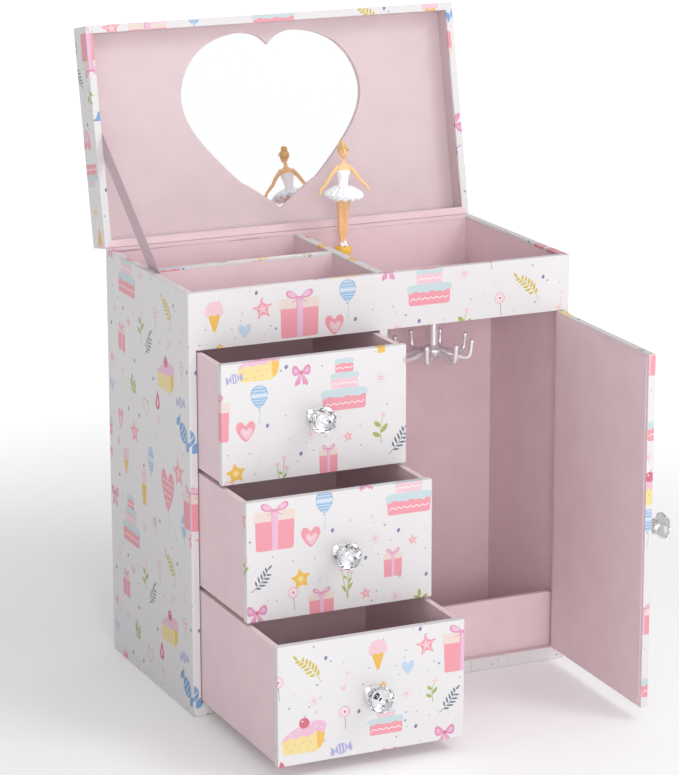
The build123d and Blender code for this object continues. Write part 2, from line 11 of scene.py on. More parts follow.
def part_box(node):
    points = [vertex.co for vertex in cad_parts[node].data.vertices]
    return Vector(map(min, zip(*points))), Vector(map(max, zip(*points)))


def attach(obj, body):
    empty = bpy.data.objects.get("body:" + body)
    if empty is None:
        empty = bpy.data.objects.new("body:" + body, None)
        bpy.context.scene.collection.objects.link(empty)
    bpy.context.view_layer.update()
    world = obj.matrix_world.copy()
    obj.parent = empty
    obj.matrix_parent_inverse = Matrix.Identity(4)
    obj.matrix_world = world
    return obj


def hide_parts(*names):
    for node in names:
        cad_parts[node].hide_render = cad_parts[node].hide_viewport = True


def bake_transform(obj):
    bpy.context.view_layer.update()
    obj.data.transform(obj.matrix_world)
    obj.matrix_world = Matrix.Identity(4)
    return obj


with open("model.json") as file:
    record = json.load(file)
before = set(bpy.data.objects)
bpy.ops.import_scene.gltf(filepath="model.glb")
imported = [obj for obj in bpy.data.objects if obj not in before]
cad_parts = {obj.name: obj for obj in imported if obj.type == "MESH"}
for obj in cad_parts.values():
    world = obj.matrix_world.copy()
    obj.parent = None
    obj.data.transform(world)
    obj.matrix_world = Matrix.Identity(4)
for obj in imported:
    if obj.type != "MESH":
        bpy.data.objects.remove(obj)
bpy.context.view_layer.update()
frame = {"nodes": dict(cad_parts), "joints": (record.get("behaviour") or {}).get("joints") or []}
NODES = frame["nodes"]
MM = 0.001


# ---------------------------------------------------------------- places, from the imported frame, in mm
def cad(node):
    low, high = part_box(node)
    return low / MM, high / MM


JOINTS = {j["name"]: j for j in frame["joints"]}


def pivot_of(joint):
    return Vector(JOINTS[joint]["pos_m"]) / MM


LEFT, FRONT = cad("left_side")[0].xy
RIGHT, BACK, HEIGHT = cad("right_side")[1]
INNER_X = cad("top_rail")[1].x                    # inside face of the case's side boards
RAIL_BOTTOM, BASE_RAIL = cad("top_rail")[0].z, cad("bottom_rail")[1].z
DIVIDER = (cad("centre_divider")[0].x, cad("centre_divider")[1].x)
PROUD = 0.1                                      # how far paper stands off the board
LID_PIVOT = pivot_of("lid_hinge")
DOOR_PIVOT = pivot_of("door_hinge")
LID_OPEN, DOOR_OPEN = radians(101.5), radians(88.6)
LID_HEIGHT, LID_GAP, BOARD = 21.6, 0.4, 4.5
DOOR_GAP = 0.4                                    # between the door and its opening, all round
LINING_MARGIN = 2.2                               # the door's lining stops this far inside its edge
KNOB_FROM_EDGE = 10.5                             # from the door's free edge to its knob
FOLD_RADIUS = 0.5                                 # of paper folded over a board's edge
HINGE_CUT = 1.8                                   # paper cut back under the door's hinge strip


def about(point, axis, angle):
    """Turns about a line through point, in mm."""
    return Matrix.Translation(point) @ Matrix.Rotation(angle, 4, axis) @ Matrix.Translation(-Vector(point))


OPEN_LID = about(LID_PIVOT, "X", -LID_OPEN)
OPEN_DOOR = about(DOOR_PIVOT, "Z", DOOR_OPEN)
FACING = Matrix(((1, 0, 0, 0), (0, 0, -1, 0), (0, 1, 0, 0), (0, 0, 0, 1)))   # x right, y up, z out of a front


# ---------------------------------------------------------------- materials
def linear(hex_colour):
    parts = [int(hex_colour[i:i + 2], 16) / 255 for i in (0, 2, 4)]
    return [c / 12.92 if c <= 0.04045 else ((c + 0.055) / 1.055) ** 2.4 for c in parts]


def material(name, colour, rough=0.5, grain=None, mottle=None, tone=1.0, **sockets):
    """A Principled material.

    grain = (cells per metre, bump, roughness spread, stretch); mottle = (other colour, cells per metre).
    """
    m = bpy.data.materials.new(name)
    m.use_nodes = True
    tree = m.node_tree
    shader = tree.nodes["Principled BSDF"]
    shader.inputs["Base Color"].default_value = (*(c * tone for c in linear(colour)), 1)
    shader.inputs["Roughness"].default_value = rough
    for key, value in sockets.items():
        shader.inputs[key.replace("_", " ")].default_value = value
    if not (grain or mottle):
        return m
    place = tree.nodes.new("ShaderNodeTexCoord").outputs["Object"]
    if grain:
        cells, bump, spread, stretch = grain
        mapping = tree.nodes.new("ShaderNodeMapping")
        mapping.inputs["Scale"].default_value = stretch
        noise = tree.nodes.new("ShaderNodeTexNoise")
        noise.inputs["Scale"].default_value = cells
        noise.inputs["Detail"].default_value = 3
        tree.links.new(place, mapping.inputs["Vector"])
        tree.links.new(mapping.outputs["Vector"], noise.inputs["Vector"])
        spread_node = tree.nodes.new("ShaderNodeMapRange")
        spread_node.inputs["From Min"].default_value = 0.3
        spread_node.inputs["From Max"].default_value = 0.7
        spread_node.inputs["To Min"].default_value = rough - spread
        spread_node.inputs["To Max"].default_value = rough + spread
        tree.links.new(noise.outputs["Fac"], spread_node.inputs["Value"])
        tree.links.new(spread_node.outputs["Result"], shader.inputs["Roughness"])
        bumps = tree.nodes.new("ShaderNodeBump")
        bumps.inputs["Strength"].default_value = bump
        bumps.inputs["Distance"].default_value = 0.0002
        tree.links.new(noise.outputs["Fac"], bumps.inputs["Height"])
        tree.links.new(bumps.outputs["Normal"], shader.inputs["Normal"])
    if mottle:
        other, cells = mottle
        clouds = tree.nodes.new("ShaderNodeTexNoise")
        clouds.inputs["Scale"].default_value = cells
        clouds.inputs["Detail"].default_value = 5
        ramp = tree.nodes.new("ShaderNodeValToRGB")
        ramp.color_ramp.elements[0].position, ramp.color_ramp.elements[1].position = 0.32, 0.68
        ramp.color_ramp.elements[0].color = (*linear(colour), 1)
        ramp.color_ramp.elements[1].color = (*linear(other), 1)
        tree.links.new(place, clouds.inputs["Vector"])
        tree.links.new(clouds.outputs["Fac"], ramp.inputs["Fac"])
        tree.links.new(ramp.outputs["Color"], shader.inputs["Base Color"])
    return m


ROUND = (1, 1, 1)
PAPER_TONE = 0.76                                 # the share of light the coated paper gives back
INKS = dict(
    paper="EBE8E9", coral="F2A0AC", blush="F3CBD6", mint="CBDDE2", butter="F3C35C", ochre="DDA94A",
    cream="EEDCD3", lilac="EDC0D7", fuchsia="E596BC", violet="8480AC", leaf="A8B765", slate="687685",
    sky="7FA9D6", ice="C3D7EC", rose="DA6E84", lime="D3C04F", periwinkle="B4B2DA", sponge="F4DE9E",
    mist="A6B2C0", white="FAF7F8",
)
PAPER_GRAIN = (1400, 0.06, 0.06, ROUND)
INK = {name: material("ink_" + name, colour, 0.46, PAPER_GRAIN, tone=PAPER_TONE) for name,
       colour in INKS.items()}
INK_NAMES = list(INKS)

lining = material(
    "lining_paper", "DDC5CA", 0.82, (2600, 0.25, 0.06, ROUND), ("D9C0C6", 60), Sheen_Weight=0.1,
    Sheen_Roughness=0.5
)
# the same lining paper as on the case, given a darker colour on the lid: painted shade
shaded_lid_lining = material(
    "painted_shade_lid_paper", "CEBBBE", 0.82, (2600, 0.25, 0.06, ROUND), ("CAB7BA", 60), Sheen_Weight=0.1,
    Sheen_Roughness=0.5
)
glass_mirror = material("mirror_silver", "FDFEFE", 0.02, Metallic=1.0)
crystal = material("cut_crystal", "FBFCFE", 0.0, Transmission_Weight=1.0, IOR=1.5)
foil = material("crystal_foil", "E9E9EB", 0.08, Metallic=1.0)
nickel = material("polished_nickel", "D9D7D6", 0.12, (900, 0.03, 0.05, ROUND), Metallic=1.0)
chromed_plastic = material("silver_plastic", "EFEEF0", 0.22, (500, 0.06, 0.06, ROUND), Metallic=0.45)
steel = material("bright_steel", "BDBDC0", 0.3, (1500, 0.08, 0.08, (1, 1, 0.08)), Metallic=1.0)
zinc = material("cast_zinc", "A9A9A6", 0.5, (1200, 0.3, 0.1, ROUND), Metallic=1.0)
brass = material("turned_brass", "CFA95A", 0.28, (1500, 0.08, 0.08, (1, 1, 0.1)), Metallic=1.0)
magnet_steel = material("magnet_nickel", "A2A2A6", 0.35, (900, 0.05, 0.08, ROUND), Metallic=1.0)
fan_white = material("fan_plastic", "DDDDD8", 0.5, (900, 0.05, 0.05, ROUND))
skin = material(
    "doll_skin", "EFC594", 0.38, (700, 0.04, 0.05, ROUND), ("EBBD8B", 160), Subsurface_Weight=0.15,
    Subsurface_Scale=0.001
)
hair = material("doll_hair", "E2BC7E", 0.42, (3000, 0.5, 0.08, (1, 1, 0.15)), ("CDA363", 900))
dress = material(
    "doll_dress", "F4F3F8", 0.5, (1600, 0.25, 0.06, ROUND), Subsurface_Weight=0.25, Subsurface_Scale=0.001
)
doll_base = material("doll_base", "F2C650", 0.35, (600, 0.05, 0.06, ROUND), ("ECBB42", 200))
doll_paint = material("doll_paint", "4A3A3A", 0.4, (900, 0.03, 0.04, ROUND))
lip_paint = material("lip_paint", "C8505A", 0.4, (900, 0.03, 0.04, ROUND))


def ribbon_material():
    """Plain-woven ribbon: fine ribs across it and threads along it."""
    m = material("woven_ribbon", "BDA0A9", 0.6, Sheen_Weight=0.3, Sheen_Roughness=0.4)
    tree = m.node_tree
    shader = tree.nodes["Principled BSDF"]
    place = tree.nodes.new("ShaderNodeTexCoord").outputs["Object"]
    heights = []
    for direction, cells in (("Y", 900), ("Z", 900)):
        wave = tree.nodes.new("ShaderNodeTexWave")
        wave.bands_direction = direction
        wave.inputs["Scale"].default_value = cells / 3
        wave.inputs["Distortion"].default_value = 0.4
        tree.links.new(place, wave.inputs["Vector"])
        heights.append(wave.outputs["Fac"])
    weave = tree.nodes.new("ShaderNodeMath")
    weave.operation = "MULTIPLY"
    tree.links.new(heights[0], weave.inputs[0])
    tree.links.new(heights[1], weave.inputs[1])
    # the colour follows the weave's height, darker where it is low: painted shade in the hollows between the
    # threads
    tone = tree.nodes.new("ShaderNodeValToRGB")
    tone.color_ramp.elements[0].color = (*linear("AD909A"), 1)
    tone.color_ramp.elements[1].color = (*linear("CAB0B8"), 1)
    bumps = tree.nodes.new("ShaderNodeBump")
    bumps.inputs["Strength"].default_value = 0.5
    bumps.inputs["Distance"].default_value = 0.0002
    tree.links.new(weave.outputs[0], tone.inputs["Fac"])
    tree.links.new(tone.outputs["Color"], shader.inputs["Base Color"])
    tree.links.new(weave.outputs[0], bumps.inputs["Height"])
    tree.links.new(bumps.outputs["Normal"], shader.inputs["Normal"])
    return m


ribbon_weave = ribbon_material()

LOOKS = {
    lining: (
        "left_side", "right_side", "back_panel", "bottom_panel", "top_rail", "bottom_rail", "centre_divider",
        "tray_floor", "drawer_shelves", "false_back", "pocket_front", "tray_long_divider",
        "tray_cross_divider",
        "door_panel", "drawer_1_front", "drawer_2_front", "drawer_3_front",
        "drawer_1_box", "drawer_2_box", "drawer_3_box",
    ),
    shaded_lid_lining: ("lid_top", "lid_walls", "lid_liner", "mirror_backing"),
    glass_mirror: ("mirror",),
    nickel: tuple(f"{w}_knob_ferrule" for w in ("door", "drawer_1", "drawer_2",
                                                "drawer_3")) + ("winding_key",),
    steel: tuple(f"{w}_knob_screw" for w in ("door", "drawer_1", "drawer_2", "drawer_3"))
    + ("movement_screws", "comb", "mainspring", "spring_housing", "governor_bracket"),
    magnet_steel: ("divider_magnet", "door_magnet"),
    chromed_plastic: ("carousel_flange", "carousel_post"),
    zinc: ("bedplate",),
    brass: ("music_cylinder", "great_wheel", "governor_wheel"),
    fan_white: ("governor_fan",),
}
for look, names in LOOKS.items():
    for node in names:
        NODES[node].data.materials.clear()
        NODES[node].data.materials.append(look)


# ---------------------------------------------------------------- mesh helpers
def piece(name, verts, faces, materials, indices=None, matrix=None, smooth=False):
    """A mesh object from mm coordinates."""
    mesh = bpy.data.meshes.new(name)
    turn = matrix or Matrix.Identity(4)
    mesh.from_pydata([(turn @ Vector(v)) * MM for v in verts], [], faces)
    for m in materials:
        mesh.materials.append(m)
    if indices is not None:
        mesh.polygons.foreach_set("material_index", indices)
    if smooth:
        mesh.polygons.foreach_set("use_smooth", [True] * len(faces))
    mesh.validate()
    mesh.update()
    made = bpy.data.objects.new(name, mesh)
    bpy.context.scene.collection.objects.link(made)
    return made


def rings_mesh(rings):
    """Vertices and faces joining rings of equal length, closed at both ends."""
    n = len(rings[0])
    verts = [p for ring in rings for p in ring]
    faces = [
        (r * n + i, r * n + (i + 1) % n, (r + 1) * n + (i + 1) % n, (r + 1) * n + i)
        for r in range(len(rings) - 1) for i in range(n)
    ]
    faces += [tuple(range(n))[::-1], tuple(range((len(rings) - 1) * n, len(rings) * n))]
    return verts, faces


def turned(profile, steps):
    """Rings for a turned shape from (radius, height) points."""
    return [
        [
            (r * cos(2 * pi * i / steps), r * sin(2 * pi * i / steps), z)
            for i in range(steps)
        ]
        for r, z in profile
    ]


def tube(path, sizes, n=10):
    """Rings along a path, sizes being the radius at each point."""
    rings = []
    side = None
    for i, p in enumerate(path):
        p = Vector(p)
        run = (Vector(path[min(i + 1, len(path) - 1)]) - Vector(path[max(i - 1, 0)])).normalized()
        if side is None:
            side = run.orthogonal().normalized()
        side = (side - run * side.dot(run)).normalized()
        up = run.cross(side)
        rings.append([
            tuple(p + sizes[i] * (side * cos(2 * pi * k / n) + up * sin(2 * pi * k / n))) for k in range(n)
        ])
    return rings


def apply_modifiers(made):
    graph = bpy.context.evaluated_depsgraph_get()
    mesh = bpy.data.meshes.new_from_object(made.evaluated_get(graph))
    made.modifiers.clear()
    made.data = mesh
    return made


def smooth_by_angle(made, degrees=40):
    mesh = made.data
    mesh.polygons.foreach_set("use_smooth", [True] * len(mesh.polygons))
    mesh.set_sharp_from_angle(angle=radians(degrees))
    return made


# ---------------------------------------------------------------- the printed paper's small drawings
def chaikin(points, times=2, closed=True):
    for _ in range(times):
        cut = []
        count = len(points)
        for i in range(count if closed else count - 1):
            (x0, y0), (x1, y1) = points[i], points[(i + 1) % count]
            cut += [(0.75 * x0 + 0.25 * x1, 0.75 * y0 + 0.25 * y1),
                    (0.25 * x0 + 0.75 * x1, 0.25 * y0 + 0.75 * y1)]
        points = cut if closed else [points[0], *cut, points[-1]]
    return points


def oval(x, y, rx, ry=None, tilt=0.0, n=14):
    ry = rx if ry is None else ry
    c, s = cos(radians(tilt)), sin(radians(tilt))
    ring = [(rx * cos(2 * pi * i / n), ry * sin(2 * pi * i / n)) for i in range(n)]
    return [(x + a * c - b * s, y + a * s + b * c) for a, b in ring]


def brush(points, width, end=None, times=2):
    """A stroke that may taper."""
    end = width if end is None else end
    line = chaikin(points, times, closed=False) if len(points) > 2 else points
    last = len(line) - 1
    right, left = [], []
    for i, (x, y) in enumerate(line):
        (x0, y0), (x1, y1) = line[max(i - 1, 0)], line[min(i + 1, last)]
        run = hypot(x1 - x0, y1 - y0) or 1
        half = (width + (end - width) * i / last) / 2
        dx, dy = (y1 - y0) / run * half, (x1 - x0) / run * half
        right.append((x + dx, y - dy))
        left.append((x - dx, y + dy))
    return right + left[::-1]


def petal(x, y, length, width, angle):
    """A pointed leaf from its foot."""
    a = radians(angle)
    c, s = cos(a), sin(a)
    outline = [(0, 0), (0.3, -0.42), (0.65, -0.42), (1, 0), (0.65, 0.42), (0.3, 0.42)]
    body = chaikin([(u * length, v * width) for u, v in outline], 1)
    return [(x + u * c - v * s, y + u * s + v * c) for u, v in body]


def rotated(shapes, turn):
    c, s = cos(radians(turn)), sin(radians(turn))
    return [(ink, [(u * c - v * s, u * s + v * c) for u, v in poly]) for ink, poly in shapes]


def fitted(points, w, h):
    """An outline drawn on a unit square, at its size in mm."""
    return [(x * w, y * h) for x, y in points]


def heart_line(w, h):
    half = [(0, -0.52), (0.2, -0.34), (0.44, -0.02), (0.53, 0.28), (0.4, 0.52), (0.16, 0.5), (0, 0.24)]
    points = fitted(half, w, h) + [(-x * w, y * h) for x, y in half[-2:0:-1]]
    return chaikin(points, 2)


def heart(w, h, ink="coral", inner="blush"):
    shapes = [(ink, heart_line(w, h))]
    if inner:
        shapes += [(inner, [(x + 0.04 * w, y - 0.1 * h) for x, y in heart_line(w * 0.6, h * 0.58)])]
        shapes += [("white", brush([(-0.1 * w, 0), (0.02 * w, -0.08 * h), (0.14 * w, -0.02 * h)], 0.35))]
    return shapes


def star_line(points, outer, inner, turn=90.0):
    return [
        (r * cos(a), r * sin(a))
        for k in range(points * 2)
        for r, a in [((outer, inner)[k % 2], radians(turn + 180 * k / points))]
    ]


def star(r, ink="coral", inner="blush", plump=0.36):
    tilt = 8
    shapes = [(ink, chaikin(star_line(5, r * 1.12, r * plump, 90 + tilt), 1))]
    shapes += [(inner, chaikin(star_line(5, r * 0.42, r * 0.2, 90 + tilt), 1))]
    for k in range(5):
        a = radians(90 + tilt + 72 * k)
        shapes.append(("white" if ink == "coral" else "ochre", brush(
            [(0.3 * r * cos(a), 0.3 * r * sin(a)), (0.7 * r * cos(a), 0.7 * r * sin(a))], 0.32, 0.12)))
    return shapes


def burst(r):
    """A little star with fine ticks round it."""
    shapes = []
    for k in range(8):
        a = radians(12 + 45 * k)
        start, end = 0.5 * r, (1.0, 0.8)[k % 2] * r
        shapes.append(("coral", brush([(start * cos(a), start * sin(a)), (end * cos(a), end * sin(a))], 0.26,
                                      0.16)))
    return shapes + [("coral", star_line(6, r * 0.56, r * 0.17, 20)),
                     ("blush", star_line(6, r * 0.34, r * 0.12, 20))]


def soft_box(left, low, right, high, r, lean=0.0):
    """A rectangle with round corners, its foot drawn in by lean."""
    corners = [(left + lean, low), (right - lean, low), (right, high), (left, high)]
    points = []
    for i, (x, y) in enumerate(corners):
        ends = []
        for a, b in (corners[i - 1], corners[(i + 1) % 4]):
            run = hypot(a - x, b - y)
            ends.append((x + (a - x) * r / run, y + (b - y) * r / run))
        (x0, y0), (x1, y1) = ends
        for t in (0, 0.3, 0.7, 1):
            points.append((x0 * (1 - t) ** 2 + 2 * x * t * (1 - t) + x1 * t * t,
                           y0 * (1 - t) ** 2 + 2 * y * t * (1 - t) + y1 * t * t))
    return points


def bow(w, h):
    ink, dark, light = "fuchsia", "rose", "lilac"
    shapes = []
    for s in (-1, 1):
        tail = [(0, 0), (s * 0.2, -0.16), (s * 0.42, -0.5), (s * 0.3, -0.62), (s * 0.2, -0.5),
                (s * 0.1, -0.58), (s * 0.02, -0.2)]
        shapes.append((ink, chaikin(fitted(tail, w, h), 1)))
        shapes.append((light, brush([(s * 0.06 * w, -0.12 * h), (s * 0.24 * w, -0.42 * h)], 0.5, 0.3)))
        loop = [(0, 0.0), (s * 0.2, 0.3), (s * 0.46, 0.4), (s * 0.56, 0.14), (s * 0.46, -0.12),
                (s * 0.2, -0.1)]
        shapes.append((ink, chaikin(fitted(loop, w, h), 2)))
        fold = [(s * 0.16, 0.05), (s * 0.28, 0.21), (s * 0.42, 0.22), (s * 0.44, 0.08), (s * 0.3, -0.01)]
        shapes.append((light, chaikin(fitted(fold, w, h), 2)))
        shapes.append((ink, brush([(s * 0.08 * w, 0.04 * h), (s * 0.24 * w, 0.1 * h),
                                   (s * 0.38 * w, 0.12 * h)], 0.5, 0.2)))
    shapes.append((dark, oval(0, 0.02 * h, 0.07 * w, 0.1 * h)))
    return shapes


def gift(w, h):
    """A present with a lid, a ribbon down it and a looped bow on top."""
    box_top, lid_top = 0.12 * h, 0.34 * h
    shapes = [
        ("coral", soft_box(-0.49 * w, -h / 2, 0.49 * w, box_top + 0.03 * h, 0.07 * w, 0.02 * w)),
        ("cream", soft_box(-0.52 * w, box_top, 0.51 * w, lid_top, 0.025 * w)),
        ("coral", brush([(-0.5 * w, box_top), (0.1 * w, box_top - 0.15), (0.5 * w, box_top + 0.1)], 0.3,
                        0.2)),
        ("lilac", [(-0.09 * w, -h / 2), (0.08 * w, -h / 2), (0.09 * w, lid_top), (-0.08 * w, lid_top)]),
        ("fuchsia", brush([(-0.075 * w, -0.49 * h), (-0.065 * w, lid_top)], 0.02 * w, 0.02 * w)),
    ]
    for s in (-1, 1):
        loop = [(0, 0.33), (s * 0.14, 0.48), (s * 0.32, 0.53), (s * 0.36, 0.42), (s * 0.24, 0.33)]
        shapes.append(("fuchsia", chaikin(fitted(loop, w, h), 2)))
        hole = [(s * 0.06, 0.37), (s * 0.15, 0.465), (s * 0.28, 0.495), (s * 0.3, 0.42), (s * 0.2, 0.36)]
        shapes.append(("lilac", chaikin(fitted(hole, w, h), 2)))
        shapes.append(("fuchsia", brush([(0, 0.34 * h), (s * 0.12 * w, 0.28 * h), (s * 0.2 * w, 0.24 * h)],
                                        0.024 * w, 0.016 * w)))
    shapes.append(("fuchsia", oval(0, 0.35 * h, 0.05 * w, 0.035 * h, n=8)))
    return shapes


def tier(w, y, h, ink, wave=True):
    """One layer of a cake with soft-edged icing, from its foot at y."""
    shapes = [(ink, soft_box(-w / 2, y, w / 2, y + 0.75 * h, 0.055 * w, 0.015 * w))]
    scallops = max(5, round(w / 2.6))
    drip = []
    for i in range(scallops + 1):
        x = -0.53 * w + 1.06 * w * i / scallops
        drip.append((x, y + ((0.6, 0.52, 0.66, 0.56)[i % 4]) * h))
    top = [(0.53 * w, y + 0.92 * h), (0.2 * w, y + 0.97 * h), (-0.2 * w, y + 0.94 * h),
           (-0.53 * w, y + 0.92 * h)]
    shapes.append(("mint", chaikin(drip + top, 1)))
    if wave:
        count = max(5, round(w / 2.2))
        line = [(-0.45 * w + 0.9 * w * i / count,
                 y + (0.36 if i % 2 else 0.22) * h) for i in range(count + 1)]
        shapes.append(("white", brush(line, 0.5, 0.5)))
    return shapes


def cake(w, h, tiers):
    """Tiers stacked from the widest, centred."""
    shapes, y = [], -h / 2
    heights = {1: (1.0,), 3: (0.42, 0.31, 0.27)}[tiers]
    for i, share in enumerate(heights):
        shapes += tier(w * (1, 0.62, 0.42)[i], y, h * share * 1.04, ("coral", "blush", "coral")[i])
        y += h * share
    if tiers == 1:
        shapes = tier(w, -h / 2, h * 0.78, "coral") + tier(w * 0.55, h * 0.24, h * 0.28, "blush", wave=False)
    return shapes


def balloon(w, h, string=9.0):
    shapes = [("sky", brush([(0, -h / 2), (0.8, -h / 2 - string * 0.4), (-0.6, -h / 2 - string)], 0.24,
                            0.18))]
    body = chaikin([(0, -h / 2), (-0.3 * w, -0.32 * h), (-0.52 * w, 0.05 * h), (-0.4 * w, 0.42 * h),
                    (0, 0.52 * h),
                    (0.4 * w, 0.42 * h), (0.52 * w, 0.05 * h), (0.3 * w, -0.32 * h)], 2)
    shapes += [("sky", body), ("ice", [(x * 0.93, y * 0.95) for x, y in body])]
    for y, ink in ((-0.32, "sky"), (-0.2, "sky"), (-0.08, "sky"), (0.06, "white"), (0.2, "sky"),
                   (0.33, "sky")):
        half = (0.47 - 0.9 * max(0, -0.06 - y) - 0.75 * max(0, y - 0.2)) * w
        line = [(-half + 2 * half * i / 8, (y + (0.03 if i % 2 else -0.03)) * h) for i in range(9)]
        shapes.append((ink, brush(line, 0.5, 0.5, 1)))
    shapes.append(("sky", [(-0.7, -h / 2 - 0.7), (0.7, -h / 2 - 0.7), (0, -h / 2 + 0.5)]))
    return shapes


def heart_balloon(w, h, string=14.0, fill=True):
    shapes = [("mist", brush([(0, -h / 2), (1.2, -h / 2 - string * 0.5), (-0.6, -h / 2 - string)], 0.26,
                             0.2))]
    if fill:
        shapes += [("coral", heart_line(w, h))]
        for y in (-0.24, -0.08, 0.08, 0.24):
            half = (0.17 if y < -0.2 else 0.3 if y < 0 else 0.4) * w
            line = [(-half + 2 * half * i / 6, (y + (0.03 if i % 2 else -0.03)) * h) for i in range(7)]
            shapes.append(("white", brush(line, 0.5, 0.5, 1)))
    else:
        shapes += [("rose", heart_line(w, h * 0.55)), ("paper", heart_line(w - 0.9, h * 0.55 - 1))]
    return shapes


def lolly(r, ink="blush", stick=None):
    length = r * 2.2 if stick is None else stick
    return [
        ("slate", brush([(0.3, -r), (0.9, -r - length)], 0.35, 0.3)), ("rose", oval(0, 0, r)),
        ("white", oval(0, 0, r - 0.35)), (ink, oval(0.1, 0, r * 0.74)), ("white", oval(0.2, 0, r * 0.48)),
        ("rose", oval(0.2, 0, r * 0.26, n=8)),
    ]


def branch(length, width, ink, pairs=5, angle=90.0, leaf_size=None):
    """A curved stem with slim leaves on both sides and one at its tip."""
    leaf_length = leaf_size or length * 0.3
    stem = [(0, -length / 2), (0.1 * length, -0.1 * length), (0, length / 2 - leaf_length * 0.7)]
    shapes = [(ink, brush(stem, 0.42, 0.26))]
    for i in range(pairs):
        t = 0.2 + 0.74 * i / pairs
        y = -length / 2 + t * (length - leaf_length * 0.7)
        x = 0.07 * length * sin(pi * t)
        grow = leaf_length * (0.8, 1.0, 0.95, 0.9, 0.8, 0.7)[i % 6]
        shapes.append((ink, petal(x, y, grow, width, 36)))
        shapes.append((ink, petal(x, y + 0.07 * length, grow, width, 146)))
    shapes.append((ink, petal(0, length / 2 - leaf_length * 0.8, leaf_length * 0.85, width, 84)))
    return rotated(shapes, angle - 90)


def sprig(h):
    """Broad green leaves on a stem, with one flower."""
    shapes = [("leaf", brush([(0.5, -h / 2), (-0.3, 0), (1.5, 0.32 * h)], 0.55, 0.35))]
    for y, length, angle in ((-0.3, 0.34, 150), (-0.18, 0.4, 50), (0.02, 0.3, 140)):
        shapes.append(("leaf", petal(0, y * h, length * h, 0.17 * h, angle)))
    shapes.append(("blush", chaikin([(1.5, 0.3 * h), (3.1, 0.4 * h), (2.6, 0.5 * h), (1.6, 0.44 * h),
                                     (0.6, 0.5 * h), (0.3, 0.38 * h)], 1)))
    return shapes


def tulips(h):
    shapes = []
    for dx, top, bend in ((-3.2, 0.28, -1.6), (1.2, 0.44, 0.8), (3.0, 0.16, 1.2)):
        shapes.append(("leaf", brush([(0.6, -h / 2), (bend, -0.1 * h), (dx, top * h)], 0.5, 0.35)))
        bud = [(dx, top * h - 0.4), (dx + 1.7, top * h + 1.2), (dx + 1.3, top * h + 3), (dx, top * h + 2),
               (dx - 1.3, top * h + 3), (dx - 1.7, top * h + 1.2)]
        shapes.append(("blush", chaikin(bud, 1)))
        shapes.append(("coral", brush([(dx, top * h), (dx, top * h + 2)], 0.45, 0.2)))
    for y, length, angle in ((-0.34, 0.3, 125), (-0.28, 0.3, 55), (-0.05, 0.18, 40), (0.05, 0.16, 140)):
        shapes.append(("leaf", petal(0.3, y * h, length * h, 1.7, angle)))
    return shapes


def ice_cream(w, h, tall=False):
    top = 0.08 * h if not tall else 0.02 * h
    foot = 0.06 if not tall else 0.18
    shapes = [("butter", [(-0.36 * w, top), (-foot * w, -h / 2), (foot * w, -h / 2), (0.36 * w, top)])]
    for k in (-0.18, 0, 0.18):
        shapes.append(("ochre", brush([(k * w * 1.4, top), (k * w * 0.3, -0.4 * h)], 0.3, 0.2)))
    for y in (-0.05, -0.17, -0.28):
        half = 0.33 * w * (y + 0.5) / 0.55
        shapes.append(("ochre", brush([(-half, y * h), (half, y * h + 0.5)], 0.3, 0.25)))
    if tall:
        shapes += [("cream", oval(0, 0.13 * h, 0.42 * w, 0.14 * h)),
                   ("blush", oval(0.05 * w, 0.27 * h, 0.32 * w, 0.12 * h)),
                   ("cream", oval(0, 0.38 * h, 0.2 * w, 0.08 * h)), ("rose", oval(0.02 * w, 0.47 * h, 1.2))]
    else:
        scoop = [(-0.5, 0.04), (-0.48, 0.3), (-0.25, 0.5), (0.2, 0.52), (0.48, 0.32), (0.5, 0.06), (0.3, 0.0),
                 (0.14, 0.1), (0, -0.01), (-0.16, 0.09), (-0.3, -0.01)]
        shapes += [("blush", chaikin(fitted(scoop, w, h), 2))]
        for x, y in ((-0.2, 0.25), (0.1, 0.34), (0.24, 0.2), (-0.02, 0.18)):
            shapes.append(("fuchsia", brush([(x * w, y * h), (x * w + 0.5, y * h + 0.35)], 0.3)))
    return shapes


def cake_slice(w, h):
    """A wedge with pink icing, a speckled side and a cherry."""
    shapes = [
        ("sponge", [(-0.5 * w, -0.08 * h), (-0.46 * w, -0.48 * h), (0.26 * w, -0.5 * h),
                    (0.24 * w, 0.02 * h)]),
        ("butter", chaikin([(0.24 * w, 0.02 * h), (0.26 * w, -0.5 * h), (0.46 * w, -0.34 * h),
                            (0.5 * w, 0.12 * h)], 1)),
        ("sponge", [(0.24 * w, 0.0), (0.26 * w, -0.49 * h), (0.33 * w, -0.45 * h), (0.3 * w, 0.04 * h)]),
    ]
    icing = [(-0.52, -0.08), (-0.3, 0.14), (0.05, 0.32), (0.4, 0.36), (0.54, 0.24), (0.52, 0.06),
             (0.42, -0.02), (0.34, 0.08),
             (0.22, 0.0), (0.1, -0.08), (-0.02, 0.0), (-0.16, -0.1), (-0.3, 0.0), (-0.42, -0.12)]
    shapes.append(("lilac", chaikin(fitted(icing, w, h), 2)))
    shapes += [("rose", oval(0.02 * w, 0.32 * h, 0.12 * w, 0.15 * h)),
               ("white", oval(-0.02 * w, 0.37 * h, 0.5, n=7)),
               ("slate", brush([(0.02 * w, 0.44 * h), (0.06 * w, 0.54 * h)], 0.4, 0.3))]
    for x, y in ((-0.38, -0.25), (-0.3, -0.4), (-0.2, -0.24), (-0.1, -0.38), (0.0, -0.2), (0.08, -0.36),
                 (0.17, -0.22)):
        shapes.append(("ochre", oval(x * w, y * h, 0.4, n=6)))
    for x, y in ((-0.3, 0.05), (-0.12, 0.16), (0.3, 0.2), (0.18, 0.28), (0.4, 0.14)):
        shapes.append(("white", oval(x * w, y * h, 0.4, n=6)))
    return shapes


